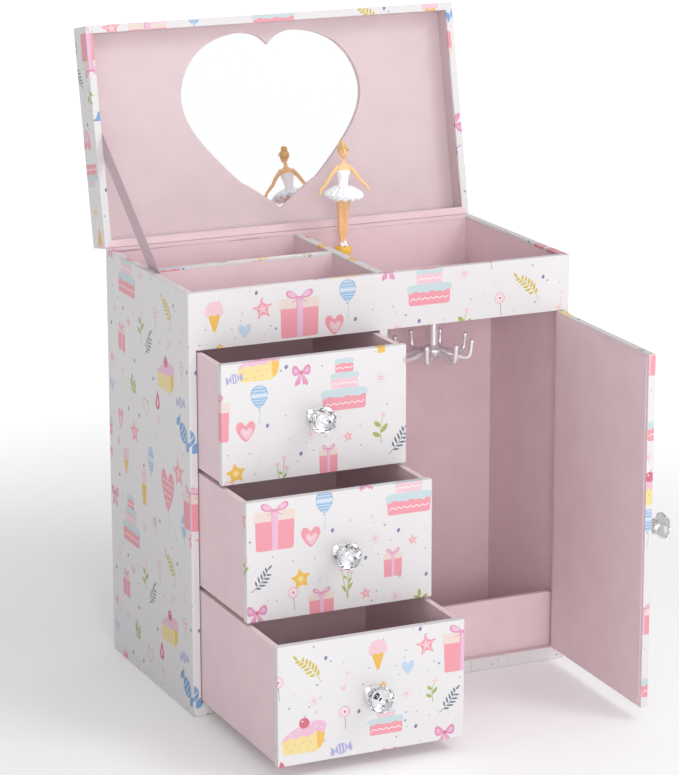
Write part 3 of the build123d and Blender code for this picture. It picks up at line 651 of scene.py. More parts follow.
def candy(w, h, ink="periwinkle", turn=10.0):
    shapes = [(ink, oval(0, 0, 0.28 * w, 0.42 * h))]
    for s in (-1, 1):
        fan = [(s * 0.24, 0), (s * 0.5, 0.44), (s * 0.44, 0.1), (s * 0.52, -0.1), (s * 0.42, -0.44)]
        shapes.append((ink, chaikin(fitted(fan, w, h), 1)))
    for k in (-0.12, 0.02, 0.16):
        shapes.append(("white", brush([(k * w - 0.3, -0.3 * h), (k * w, 0), (k * w - 0.2, 0.3 * h)], 0.5,
                                      0.4)))
    return rotated(shapes, turn)


def note(h):
    stem = 0.16 * h
    return [
        ("blush", oval(0, -0.4 * h, 0.14 * h, 0.1 * h, 20)),
        ("blush", brush([(stem * 0.7, -0.38 * h), (stem * 0.9, 0.45 * h)], 0.55)),
        ("blush", brush([(stem * 0.9, 0.42 * h), (0.3 * h, 0.3 * h), (0.38 * h, 0.36 * h)], 0.9, 0.3)),
    ]


def drop(w, h):
    body = chaikin([(0, h / 2), (-0.2 * w, 0.1 * h), (-0.5 * w, -0.25 * h), (-0.2 * w, -0.5 * h),
                    (0.3 * w, -0.48 * h), (0.5 * w, -0.15 * h)], 2)
    return [("rose", body), ("blush", [(x * 0.45, y * 0.45 - 0.1 * h) for x, y in body])]


def plain(ink, poly):
    return [(ink, poly)]


TILE_W, TILE_H = 248.0, 158.0
# Each drawing with its place on the repeat: mm from its left and from its top.
DRAWINGS = [
    (ice_cream(12, 18), 16, 15), (star(7), 46.5, 13.5), (gift(25, 28), 70, 18.5), (heart(12, 12), 92.4, 27.8),
    (balloon(11, 14), 101, 8), (cake(28, 31, 3), 154.7, 6), (burst(4.5), 178, 5), (lolly(3.4), 202, 22.3),
    (branch(25, 1.9, "lime", 6, 135, 5.2), 220, 17), (note(12), 242.4, 27),
    (heart(8, 8, "ice", None), 35, 25.5),
    (star(3, "butter", "sponge"), 19.3, 33.7), (burst(3.4), 34, 41.3), (sprig(14), 50.3, 41.7),
    (branch(20, 1.4, "slate", 5, 50, 5.0), 61.5, 48.5), (cake(21, 14, 1), 21.1, 56.5),
    (bow(12, 13), 58.5, 69),
    (heart(12, 13), 23.3, 79), (star(6.4, "butter", "sponge", 0.5), 86, 52), (lolly(3.4), 81.2, 59.5),
    (gift(16, 19), 99, 68.7), (tulips(22), 115, 57), (burst(3.6), 133, 34), (gift(12, 17), 144.5, 50),
    (star(3.6), 157, 38), (star(4), 127, 66.5), (burst(4), 146, 71), (sprig(19), 178, 35),
    (branch(22, 1.5, "slate", 5, 55, 5.4), 189.5, 43), (burst(3.4), 224, 36.5), (lolly(3.4), 243, 46),
    (cake_slice(27, 22), 217.5, 56), (candy(14, 8), 241, 68), (branch(15, 2.6, "leaf", 3, 100, 6), 162.3, 76),
    (heart(8, 8, "ice", None), 126.2, 84.5), (heart_balloon(9, 18, 10, False), 184.4, 84.7),
    (drop(8, 13), 203.7, 75),
    (burst(4), 205, 88), (candy(24, 13, "sky", -42), 245, 85.7), (heart(8, 13), 140.2, 103),
    (star(8), 163.7, 105.6),
    (balloon(9, 18, 6), 190.8, 117), (ice_cream(12, 26, True), 178.5, 135), (star(9.5), 235.8, 112.7),
    (heart_balloon(20, 25), 218.2, 128.7), (bow(11, 13), 127.5, 154.5), (lolly(3, "leaf", 5), 195.6, 154),
    (balloon(8, 15, 6), 243.2, 144), (gift(24, 27), 7, 130), (star(5.6), 7, 149.6),
    (cake_slice(26, 21), 101, 146), (candy(11, 7), 85.6, 153.5),
    # the part of the repeat that the photograph doesn't show
    (heart_balloon(15, 18, 10), 44, 98), (branch(22, 1.9, "lime", 6, 60, 5.2), 68, 96),
    (star(6.2, "butter", "sponge", 0.5), 88, 95),
    (cake(26, 29, 3), 112, 103), (sprig(15), 11, 103), (gift(13, 17), 62, 121), (lolly(3.2), 38, 122),
    (note(11), 86, 117),
    (branch(19, 1.4, "slate", 5, 120, 4.8), 26, 118), (candy(18, 10, "sky", 20), 50, 141),
    (tulips(20), 76, 138),
    (burst(4), 100, 127), (heart(9, 9), 120, 130), (ice_cream(11, 17), 148, 128), (star(3.6), 136, 118),
    (balloon(8, 11, 6), 30, 136), (burst(3.5), 66, 155),
]
SPOTS = [
    (42.6, 3.4), (106, 25.5), (148, 31), (231.5, 12), (127, 44.8), (4, 47.2), (204, 151), (73, 84), (40, 62),
    (166, 60),
    (197, 64), (172, 93), (112, 88), (96, 109), (20, 88), (154, 93), (136, 140), (60, 106), (118, 150),
]
FRECKLES = 150                                    # tiny grey and blue marks between the drawings
FRECKLE_INKS = ("mist", "ice", "mist", "periwinkle", "blush", "sky", "mint")


def reach(shapes):
    return max(hypot(x, y) for _, poly in shapes for x, y in poly)


def freckles():
    """Small dots and triangles, kept clear of the drawings."""
    draw = random.Random(11)
    taken = [(x, y, reach(shapes) * 0.8) for shapes, x, y in DRAWINGS] + [(x, y, 2.5) for x, y in SPOTS]
    made, placed = [], []
    while len(made) < FRECKLES:
        x, y = draw.uniform(1, TILE_W - 1), draw.uniform(1, TILE_H - 1)
        turn, kind, ink = draw.uniform(0, 90), draw.random(), draw.choice(FRECKLE_INKS)
        near = any(
            hypot(min(abs(x - a), TILE_W - abs(x - a)), min(abs(y - b), TILE_H - abs(y - b))) < r + 1.2
            for a, b, r in taken + placed
        )
        if near:
            continue
        placed.append((x, y, 2.2))
        size = draw.uniform(0.35, 0.8)
        if kind < 0.55:
            shape = plain(ink, oval(0, 0, size, size * 0.85, turn, 8))
        elif kind < 0.85:
            shape = plain(ink, [(size * 1.4 * cos(radians(turn + k * 120)),
                                 size * 1.4 * sin(radians(turn + k * 120))) for k in range(3)])
        else:
            shape = plain(ink, chaikin([(-1, 0.2), (-0.4, 0.9), (0, 0.4), (0.5, 0.9), (1, 0.2), (0, -1)], 1))
        made.append((shape, x, y))
    return made


TILE = DRAWINGS + [(plain("violet", oval(0, 0, 1.0, 1.35, -20, 12)), x, y) for x, y in SPOTS] + freckles()
REACHES = [reach(shapes) for shapes, _, _ in TILE]


# ---------------------------------------------------------------- printed sheets, cut, drawn on and folded
def counter_clockwise(poly):
    area = sum(poly[i - 1][0] * poly[i][1] - poly[i][0] * poly[i - 1][1] for i in range(len(poly)))
    return poly if area > 0 else poly[::-1]


def within(poly, u, v):
    """Whether a point lies inside an outline."""
    crossings = 0
    for (x0, y0), (x1, y1) in zip(poly, poly[1:] + poly[:1]):
        if (y0 > v) != (y1 > v) and u < x0 + (v - y0) * (x1 - x0) / (y1 - y0):
            crossings += 1
    return crossings % 2 == 1


def drawings_in(zone):
    """The drawings that touch a zone (left, low, right, high, repeat x and y at its top left)."""
    left, low, right, high, phase_x, phase_y = zone
    found = []
    for (shapes, x, y), r in zip(TILE, REACHES):
        u = left + (x - phase_x) % TILE_W - TILE_W
        while u - r < right:
            v = high - ((y - phase_y) % TILE_H) + TILE_H
            while v + r > low:
                if u + r > left and v - r < high:
                    found += [(ink, [(u + a, v + b) for a, b in poly]) for ink, poly in shapes]
                v -= TILE_H
            u += TILE_W
    return found


def printed(name, outline, cuts, zones, fold, curved, holes=(), thick=0.2, matrix=None, bare=None):
    """A sheet of printed paper.

    Its outline, fold lines, holes and zones are on the flat sheet, and fold() bends it. bare() says where
    lining paper covers it.
    """
    verts, edges, faces, inks, limits = [], [], [], [None], [None]

    def add(poly):
        start = len(verts)
        verts.extend(Vector(p) for p in counter_clockwise(poly))
        faces.append(list(range(start, len(verts))))

    add(outline)
    for hole in holes:
        start = len(verts)
        verts.extend(Vector(p) for p in hole)
        edges.extend((start + i, start + (i + 1) % len(hole)) for i in range(len(hole)))
    for a, b in cuts:
        verts.extend((Vector(a), Vector(b)))
        edges.append((len(verts) - 2, len(verts) - 1))
    for zone in zones:
        for ink, poly in drawings_in(zone):
            add(poly)
            inks.append(ink)
            limits.append(zone)
    flat, _, triangles, _, _, origins = delaunay_2d_cdt(verts, edges, faces, 1, 1e-4)
    kept, indices, smooth = [], [], []
    for triangle, inside in zip(triangles, origins):
        u = sum(flat[i][0] for i in triangle) / 3
        v = sum(flat[i][1] for i in triangle) / 3
        if 0 not in inside or any(within(hole, u, v) for hole in holes):
            continue
        top = 0
        for f in inside:
            if f > top:
                left, low, right, high = limits[f][:4]
                if left <= u <= right and low <= v <= high:
                    top = f
        kept.append(tuple(triangle))
        lined = bare is not None and bare(u, v)
        indices.append(len(INK_NAMES) if lined else INK_NAMES.index(inks[top] if top else "paper"))
        smooth.append(curved(u, v))
    papers = [INK[n] for n in INK_NAMES] + ([lining] if bare else [])
    made = piece(name, [fold(x, y) for x, y in flat], kept, papers, indices, matrix)
    mesh = made.data
    if len(mesh.polygons) == len(smooth):
        mesh.polygons.foreach_set("use_smooth", smooth)
    body = bmesh.new()
    body.from_mesh(mesh)
    bmesh.ops.remove_doubles(body, verts=body.verts, dist=1e-7)
    bmesh.ops.dissolve_degenerate(body, dist=1e-7, edges=body.edges)
    loose = [v for v in body.verts if not v.link_faces]
    bmesh.ops.delete(body, geom=loose, context="VERTS")
    body.to_mesh(mesh)
    body.free()
    shell = made.modifiers.new("thickness", "SOLIDIFY")
    shell.thickness, shell.offset = thick * MM, -1
    return made


def bent(points, radii, steps=4):
    """(distance, a, b) along a polyline whose inner corners are rounded."""
    path = [Vector(points[0])]
    for i, radius in enumerate(radii, 1):
        corner, before, after = Vector(points[i]), Vector(points[i - 1]), Vector(points[i + 1])
        into, out = (corner - before).normalized(), (after - corner).normalized()
        turn = into.angle_signed(out)
        cut = radius * abs(sin(turn / 2) / cos(turn / 2))
        start = corner - into * cut
        side = Vector((into.y, -into.x)) * (1 if turn > 0 else -1)
        centre = start + side * radius
        for k in range(steps + 1):
            a = abs(turn) * k / steps
            path.append(centre - side * radius * cos(a) + into * radius * sin(a))
    path.append(Vector(points[-1]))
    samples, distance = [(0.0, path[0].x, path[0].y)], 0.0
    for a, b in zip(path, path[1:]):
        step = (b - a).length
        if step > 1e-6:
            distance += step
            samples.append((distance, b.x, b.y))
    return samples


def along(samples, t):
    for (t0, a0, b0), (t1, a1, b1) in zip(samples, samples[1:]):
        if t <= t1:
            break
    k = (t - t0) / (t1 - t0)
    return a0 + (a1 - a0) * k, b0 + (b1 - b0) * k


# Each side's outward direction, then its rightward one.
SIDES = (((-1, 0), (0, -1)), ((0, -1), (1, 0)), ((1, 0), (0, 1)), ((0, 1), (-1, 0)))
ARC_STEPS = 3


def place_round(side, half, reach_out, offset, out, radius):
    """Plan position on one side of a rounded rectangle.

    offset is along the side from its middle, and out is from the arcs' centre line.
    """
    (nx, ny), (tx, ty) = SIDES[side]
    if out >= 0:
        over = max(abs(offset) - half, 0.0)
        angle = min(over / radius, pi / 4)
        t = max(min(offset, half), -half) + (1 if offset > 0 else -1) * out * sin(angle)
        n = reach_out + out * cos(angle)
    else:
        t = max(min(offset, half + out), -half - out)
        n = reach_out + out
    return nx * n + tx * t, ny * n + ty * t


def rectangle(left, low, right, high):
    return [(left, low), (right, low), (right, high), (left, high)]


def case_wrap():
    """One band of paper round the case, turned in over its rim, with the two front openings cut out."""
    radius, rim = 1.2 + PROUD, 0.5
    half_x, half_y = RIGHT + PROUD - radius, BACK + PROUD - radius
    inner = INNER_X - PROUD - half_x
    top = HEIGHT + PROUD
    profile = bent([(radius, 0), (radius, top), (inner, top), (inner, top - 2)], [rim, rim])
    rise = profile[-1][0]
    quarter = radius * pi / 4
    sides, starts, u = (half_y, half_x, half_y, half_x), [], 0.0
    for half in sides:
        starts.append(u)
        u += 2 * (half + quarter)
    whole = u

    def fold(u, v):
        u = min(max(u, 0.0), whole)
        side = max(k for k in range(4) if starts[k] <= u + 1e-9)
        middle = starts[side] + sides[side] + quarter
        out, z = along(profile, v)
        x, y = place_round(side, sides[side], sides[(side + 1) % 2], u - middle, out, radius)
        return x, y, z

    levels = [t for t, _, _ in profile[1:-1]]
    cuts = [((0, t), (whole, t)) for t in levels]
    for start, half in zip(starts, sides):
        width = 2 * (half + quarter)
        for k in range(ARC_STEPS + 1):
            for place in (start + quarter * k / ARC_STEPS, start + width - quarter * k / ARC_STEPS):
                if 0 < place < whole:
                    cuts.append(((place, 0), (place, rise)))

    def on_front(x):
        return starts[1] + quarter + half_x + x

    def on_back(x):
        return starts[3] + quarter + half_x - x

    holes = [
        rectangle(on_front(-INNER_X), BASE_RAIL, on_front(DIVIDER[0]), RAIL_BOTTOM),
        rectangle(on_front(DIVIDER[1]), BASE_RAIL, on_front(INNER_X + HINGE_CUT), RAIL_BOTTOM),
        oval(on_back(KEY_X), KEY_Z, 3.2, n=24),
    ]
    phases = ((119.2, 0), (0, 0), (61, 30), (97, 88))
    zones = [
        (starts[k], 0, starts[k] + 2 * (sides[k] + quarter), rise, phases[k][0],
         phases[k][1] - (rise - HEIGHT))
        for k in range(4)
    ]
    flat_top = max(t for t, a, b in profile if b < top - rim + 1e-3 and a > 0)

    def curved(u, v):
        side = max(k for k in range(4) if starts[k] <= u)
        over = abs(u - starts[side] - quarter - sides[side]) > sides[side]
        return over or flat_top < v < flat_top + rim * pi / 2 or v > rise - 2
    def back_rim(u, v):
        return u > starts[3] and v > flat_top
    return printed("case_wrap", rectangle(0, 0, whole, rise), cuts, zones, fold, curved, holes, bare=back_rim)


def box_wrap(name, low, high, depth, phase, matrix=None, turn_in=None, flaps=(0, 1, 2, 3), lined_side=None):
    """Paper over a panel and folded over its edges.

    low and high are the panel's corners, its face at high z, in a frame that matrix places.
    """
    radius = FOLD_RADIUS
    half_x, half_y = (high[0] - low[0]) / 2 + PROUD - radius, (high[1] - low[1]) / 2 + PROUD - radius
    middle = Vector(((low[0] + high[0]) / 2, (low[1] + high[1]) / 2, 0))
    face = high[2] + PROUD
    if turn_in:
        points = [(0, face), (radius, face), (radius, face - depth - 2 * PROUD),
                  (radius - turn_in, face - depth - 2 * PROUD),
                  (radius - turn_in, face - depth - 2 * PROUD + 1.6)]
        profile = bent(points, [radius] * 3)
    else:
        profile = bent([(0, face), (radius, face), (radius, face - depth - PROUD)], [radius])
    run = profile[-1][0]
    quarter = radius * pi / 4
    spans = (half_x, half_y)
    halves = (half_y, half_x, half_y, half_x)

    def flap(side, offset, d):
        """Flat place of a point on a flap."""
        (nx, ny), (tx, ty) = SIDES[side]
        n = spans[side % 2] + d
        return nx * n + tx * offset, ny * n + ty * offset

    outline, cuts = [], []
    for side in (1, 2, 3, 0):
        half = halves[side]
        if side in flaps:
            outline += [flap(side, -half, 0), flap(side, -half - quarter, quarter),
                        flap(side, -half - quarter, run),
                        flap(side, half + quarter, run), flap(side, half + quarter, quarter)]
            cuts.append((flap(side, -half, 0), flap(side, half, 0)))
            for t, _, _ in profile[1:-1]:
                edge = half + min(t, quarter)
                cuts.append((flap(side, -edge, t), flap(side, edge, t)))
            for s in (-1, 1):
                cuts.append((flap(side, s * half, 0), flap(side, s * half, run)))
        else:
            outline += [flap(side, -half, 0)]

    def fold(u, v):
        for side in flaps:
            (nx, ny), (tx, ty) = SIDES[side]
            d = u * nx + v * ny - spans[side % 2]
            offset = u * tx + v * ty
            edge = halves[side] + min(d, quarter)
            if d > 1e-6 and abs(offset) <= edge + 1e-2:
                out, z = along(profile, min(d, run))
                x, y = place_round(side, halves[side], spans[side % 2], max(min(offset, edge), -edge), out,
                                   radius)
                return x + middle.x, y + middle.y, z
        return u + middle.x, v + middle.y, face

    def curved(u, v):
        over = max(abs(u) - half_x, abs(v) - half_y)
        return 0 < over < radius * pi / 2
    far = run + quarter
    zone = (-half_x - far, -half_y - far, half_x + far, half_y + far, phase[0] - far, phase[1] - far)
    rim = next((t for t, _, z in profile if z <= face - depth), run)

    def lined(u, v):
        return u * SIDES[lined_side][0][0] + v * SIDES[lined_side][0][1] - spans[lined_side % 2] > rim
    return printed(name, outline, cuts, [zone], fold, curved, matrix=matrix,
                   bare=None if lined_side is None else lined)


KEY_LOW, KEY_HIGH = cad("winding_key")
KEY_X, KEY_Z = (KEY_LOW.x + KEY_HIGH.x) / 2, (KEY_LOW.z + KEY_HIGH.z) / 2


def add_wraps():
    wrap = case_wrap()
    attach(wrap, "case")
    rim = HEIGHT + LID_GAP
    wrap = box_wrap(
        "lid_wrap", (LEFT, FRONT, 0), (RIGHT, BACK, rim + LID_HEIGHT), LID_HEIGHT, (30, 12), OPEN_LID,
        BOARD + 2 * PROUD,
        lined_side=3,
    )
    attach(wrap, "lid")
    wrap = box_wrap(
        "door_wrap", (DIVIDER[1] + DOOR_GAP, BASE_RAIL + DOOR_GAP, 0),
        (INNER_X - DOOR_GAP, RAIL_BOTTOM - DOOR_GAP, -FRONT), BOARD, (104, 66), OPEN_DOOR @ FACING,
    )
    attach(wrap, "door")
    phases = ((78, 58.8), (53, 74.7), (202.3, 73.7))
    for n, (phase_x, phase_y) in enumerate(phases, 1):
        low, high = cad(f"drawer_{n}_front")
        size = high.z - low.z
        wrap = box_wrap(
            f"drawer_{n}_wrap", (low.x, low.z, 0), (high.x, high.z, -low.y), BOARD,
            (phase_x, phase_y - size), FACING
        )
        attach(wrap, f"drawer_{n}")
    for node, flaps, phase in (("tray_long_divider", (0, 2), (84, 14)),
                               ("tray_cross_divider", (1, 3), (12, 52))):
        low, high = cad(node)
        wrap = box_wrap(node + "_cap", low, high, 1.6, phase, flaps=flaps)
        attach(wrap, "case")


def door_lining():
    """The sheet glued inside the door, over the turned-in edges of the printed paper."""
    left, right = DIVIDER[1] + DOOR_GAP + LINING_MARGIN, INNER_X - DOOR_GAP - LINING_MARGIN
    bottom, top = BASE_RAIL + DOOR_GAP + LINING_MARGIN, RAIL_BOTTOM - DOOR_GAP - LINING_MARGIN
    corner, steps = 1.0, 4
    ring = []
    for x, y, start in ((right, bottom, -90), (right, top, 0), (left, top, 90), (left, bottom, 180)):
        cx, cy = x - corner * (1 if x == right else -1), y - corner * (1 if y == top else -1)
        for k in range(steps + 1):
            a = radians(start + 90 * k / steps)
            ring.append((cx + corner * cos(a), cy + corner * sin(a)))
    back = -FRONT - BOARD
    rings = [[(x, y, z) for x, y in ring] for z in (back, back - 0.3)]
    rings.append([(x * 0.999 + (left + right) / 2 * 0.001, y * 0.999 + (bottom + top) / 2 * 0.001,
                   back - 0.4) for x, y in ring])
    verts, faces = rings_mesh(rings)
    made = piece("door_lining", verts, faces, [lining], matrix=OPEN_DOOR @ FACING)
    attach(made, "door")


add_wraps()
door_lining()


# ---------------------------------------------------------------- paper hinges and the ribbon
def strip(name, width, samples, place, phase, cross=()):
    """A printed strip folded across its width: samples are (distance, a, b) along it."""
    run = samples[-1][0]
    cuts = [((0, t), (width, t)) for t, _, _ in samples[1:-1]] + [((0, t), (width, t)) for t in cross]

    def fold(u, v):
        return place(u, *along(samples, v))
    zone = (0, 0, width, run, *phase)
    made = printed(name, rectangle(0, 0, width, run), cuts, [zone], fold, lambda u, v: True, thick=0.3)
    return apply_modifiers(made), run


def lid_hinge():
    """From the case's back up over the joint on to the lid's back, following both."""
    off, leg = PROUD + 0.3, 14.0
    down = Vector((0, -1))
    lid_way = Vector((cos(LID_OPEN - pi / 2), -sin(LID_OPEN - pi / 2)))
    lid_out = Vector((lid_way.y, -lid_way.x))
    start = Vector((off, -leg))
    end = lid_way * leg + lid_out * off
    k = (end - Vector((off, 0))).cross(lid_way) / down.cross(lid_way)
    corner = Vector((off, 0)) + down * k
    samples = bent([start, corner, end], [1.2], 8)
    width = RIGHT - LEFT - 2

    def place(u, a, b):
        return (width / 2 - u, LID_PIVOT.y + a, LID_PIVOT.z + b)
    made, run = strip("lid_hinge_paper", width, samples, place, (20, 100), [k * 1.5 for k in range(1, 19)])
    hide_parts("lid_hinge_cloth")
    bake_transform(made)


def door_hinge():
    """From the side board's front edge round on to the door's face."""
    off = PROUD + 0.3
    door_way = Vector((-cos(DOOR_OPEN), -sin(DOOR_OPEN)))
    door_out = Vector((-door_way.y, door_way.x))
    start = Vector((3.6, -off))
    end = door_way * 10 + door_out * off
    k = (end - Vector((0, -off))).cross(door_way) / Vector((1, 0)).cross(door_way)
    corner = Vector((0, -off)) + Vector((1, 0)) * k
    samples = bent([end, corner, start], [1.0], 8)
    low, high = cad("door_panel")
    height = high.z - low.z

    def place(u, a, b):
        return (DOOR_PIVOT.x + a, DOOR_PIVOT.y + b, high.z - u)
    made, run = strip("door_hinge_paper", height, samples, place, (140, 40))
    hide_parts("door_hinge_cloth")
    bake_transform(made)


def ribbon():
    """The taut ribbon beside the left wall, slightly thicker along its two selvedges."""
    low = Vector((INNER_X * -1, -15.0, 250.0))
    high = OPEN_LID @ Vector((INNER_X * -1, -1.0, HEIGHT + LID_GAP + 6))
    run = high - low
    length, width = run.length, 11.0
    way, across = run.normalized(), Vector((0, -run.normalized().z, run.normalized().y))
    rings = []
    for i in range(65):
        at = low + way * length * i / 64
        ring = []
        for w, t in ((-0.5, 0.08), (-0.5, 0.44), (-0.46, 0.5), (-0.4, 0.4), (0, 0.38), (0.4, 0.4),
                     (0.46, 0.5), (0.5, 0.44), (0.5, 0.08), (0, 0.05)):
            ring.append(tuple(at + across * w * width + Vector((t, 0, 0))))
        rings.append(ring)
    verts, faces = rings_mesh(rings)
    made = piece("ribbon", verts, faces, [ribbon_weave])
    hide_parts("ribbon_stay")
    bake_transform(made)


lid_hinge()
door_hinge()
ribbon()


# ---------------------------------------------------------------- knobs
def facet_ring(radius, depth, count, turn=0.0):
    return [Vector((radius * cos(2 * pi * (i + turn) / count), radius * sin(2 * pi * (i + turn) / count),
                    depth)) for i in range(count)]


def cut_stone(name, matrix):
    """A brilliant cut: table, star and kite facets, girdle and pavilion."""
    points = (
        facet_ring(4.3, 16.5, 8, 0.5) + facet_ring(6.3, 15.3, 8) + facet_ring(7.75, 13.3,
                                                                              16) + facet_ring(7.9, 12.8, 16,
                                                                                               0.5)
        + facet_ring(7.9, 11.8, 16, 0.5) + facet_ring(5.6, 9.6, 8, 0.5) + facet_ring(3.6, 8.2,
                                                                                     8) + facet_ring(1.1,
                                                                                                     7.4, 8,
                                                                                                     0.5)
    )
    body = bmesh.new()
    for p in points:
        body.verts.new(p)
    hull = bmesh.ops.convex_hull(body, input=body.verts)
    unused = [v for v in hull["geom_interior"] + hull["geom_unused"] if isinstance(v, bmesh.types.BMVert)]
    bmesh.ops.delete(body, geom=unused, context="VERTS")
    bmesh.ops.dissolve_limit(body, angle_limit=radians(1), verts=body.verts, edges=body.edges)
    bmesh.ops.recalc_face_normals(body, faces=body.faces)
    mesh = bpy.data.meshes.new(name)
    for face in body.faces:                       # silvered behind the girdle, as such stones are
        face.material_index = int(face.calc_center_median().z < 11.5)
    bmesh.ops.transform(body, matrix=Matrix.Scale(MM, 4) @ matrix, verts=body.verts)
    body.to_mesh(mesh)
    body.free()
    mesh.materials.append(crystal)
    mesh.materials.append(foil)
    made = bpy.data.objects.new(name, mesh)
    bpy.context.scene.collection.objects.link(made)
    return made


def knobs():
    door_middle = (BASE_RAIL + RAIL_BOTTOM) / 2
    knob_x = DIVIDER[1] + DOOR_GAP + KNOB_FROM_EDGE
    places = [("door", "door", OPEN_DOOR @ Matrix.Translation((knob_x, FRONT, door_middle)) @ FACING)]
    for n in (1, 2, 3):
        low, high = cad(f"drawer_{n}_front")
        middle = Matrix.Translation(((low.x + high.x) / 2, low.y, (low.z + high.z) / 2))
        places.append((f"drawer_{n}", f"drawer_{n}", middle @ FACING))
    for body, name, matrix in places:
        stone = cut_stone(name + "_cut_knob", matrix)
        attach(stone, body)
        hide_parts(name + "_knob_crystal")


knobs()


# ---------------------------------------------------------------- necklace carousel
def hooks():
    """Eight moulded hooks, broad at the hub, curling up to round tips."""
    centre_x, centre_y = cad("carousel_post")[0].lerp(cad("carousel_post")[1], 0.5).xy
    hub = 196.0
    route = [(6.4, -1.2), (10, -2.2), (14, -3.2), (18, -4.0), (20.6, -4.2), (22.3, -3.4), (23.2, -1.4),
             (23.6, 1.4), (23.9, 4.4),
             (24.05, 6.2), (24.1, 7.3), (24.12, 7.9)]
    thickness = [2.4, 2.2, 2.0, 1.85, 1.75, 1.7, 1.6, 1.55, 1.6, 1.95, 1.6, 0.8]
    parts_v, parts_f = [], []
    for i in range(8):
        angle = radians(9 + 45 * i)
        path = [(centre_x + r * cos(angle), centre_y + r * sin(angle), hub + z) for r, z in route]
        verts, faces = rings_mesh(tube(path, thickness, 12))
        parts_f += [tuple(k + len(parts_v) for k in f) for f in faces]
        parts_v += verts
    made = piece("carousel_hook_ring", parts_v, parts_f, [chromed_plastic], smooth=True)
    sub = made.modifiers.new("round", "SUBSURF")
    sub.levels = sub.render_levels = 1
    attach(made, "carousel")
    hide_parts("carousel_hooks")


hooks()


# ---------------------------------------------------------------- ballerina
AXIS_X, AXIS_Y = cad("ballerina_base")[0].lerp(cad("ballerina_base")[1], 0.5).xy
STAND = cad("ballerina_base")[1].z                # where her slippers stand
DOLL = Matrix.Translation((AXIS_X, AXIS_Y, STAND))


def ellipse_ring(x, y, z, rx, ry, n=24):
    return [(x + rx * cos(2 * pi * i / n), y + ry * sin(2 * pi * i / n), z) for i in range(n)]


def lofted(name, rings, look, matrix=DOLL):
    verts, faces = rings_mesh(rings)
    return piece(name, verts, faces, [look], matrix=matrix, smooth=True)


def fused(name, parts, voxel, look, rounds=2):
    """One skin over several closed parts."""
    whole = parts[0]
    with bpy.context.temp_override(active_object=whole, selected_editable_objects=parts,
                                   selected_objects=parts):
        bpy.ops.object.join()
    whole.name = name
    remesh = whole.modifiers.new("one_skin", "REMESH")
    remesh.mode, remesh.voxel_size, remesh.use_smooth_shade = "VOXEL", voxel * MM, True
    relax = whole.modifiers.new("relax", "SMOOTH")
    relax.factor, relax.iterations = 0.5, rounds
    apply_modifiers(whole)
    whole.data.materials.clear()
    whole.data.materials.append(look)
    whole.data.polygons.foreach_set("use_smooth", [True] * len(whole.data.polygons))
    return whole


HIP, WAIST, BUST, SHOULDER, NECK, HEAD = 33.0, 41.0, 47.0, 51.0, 54.5, 60.4


def limb(path, sizes, n=14):
    return tube(path, sizes, n)


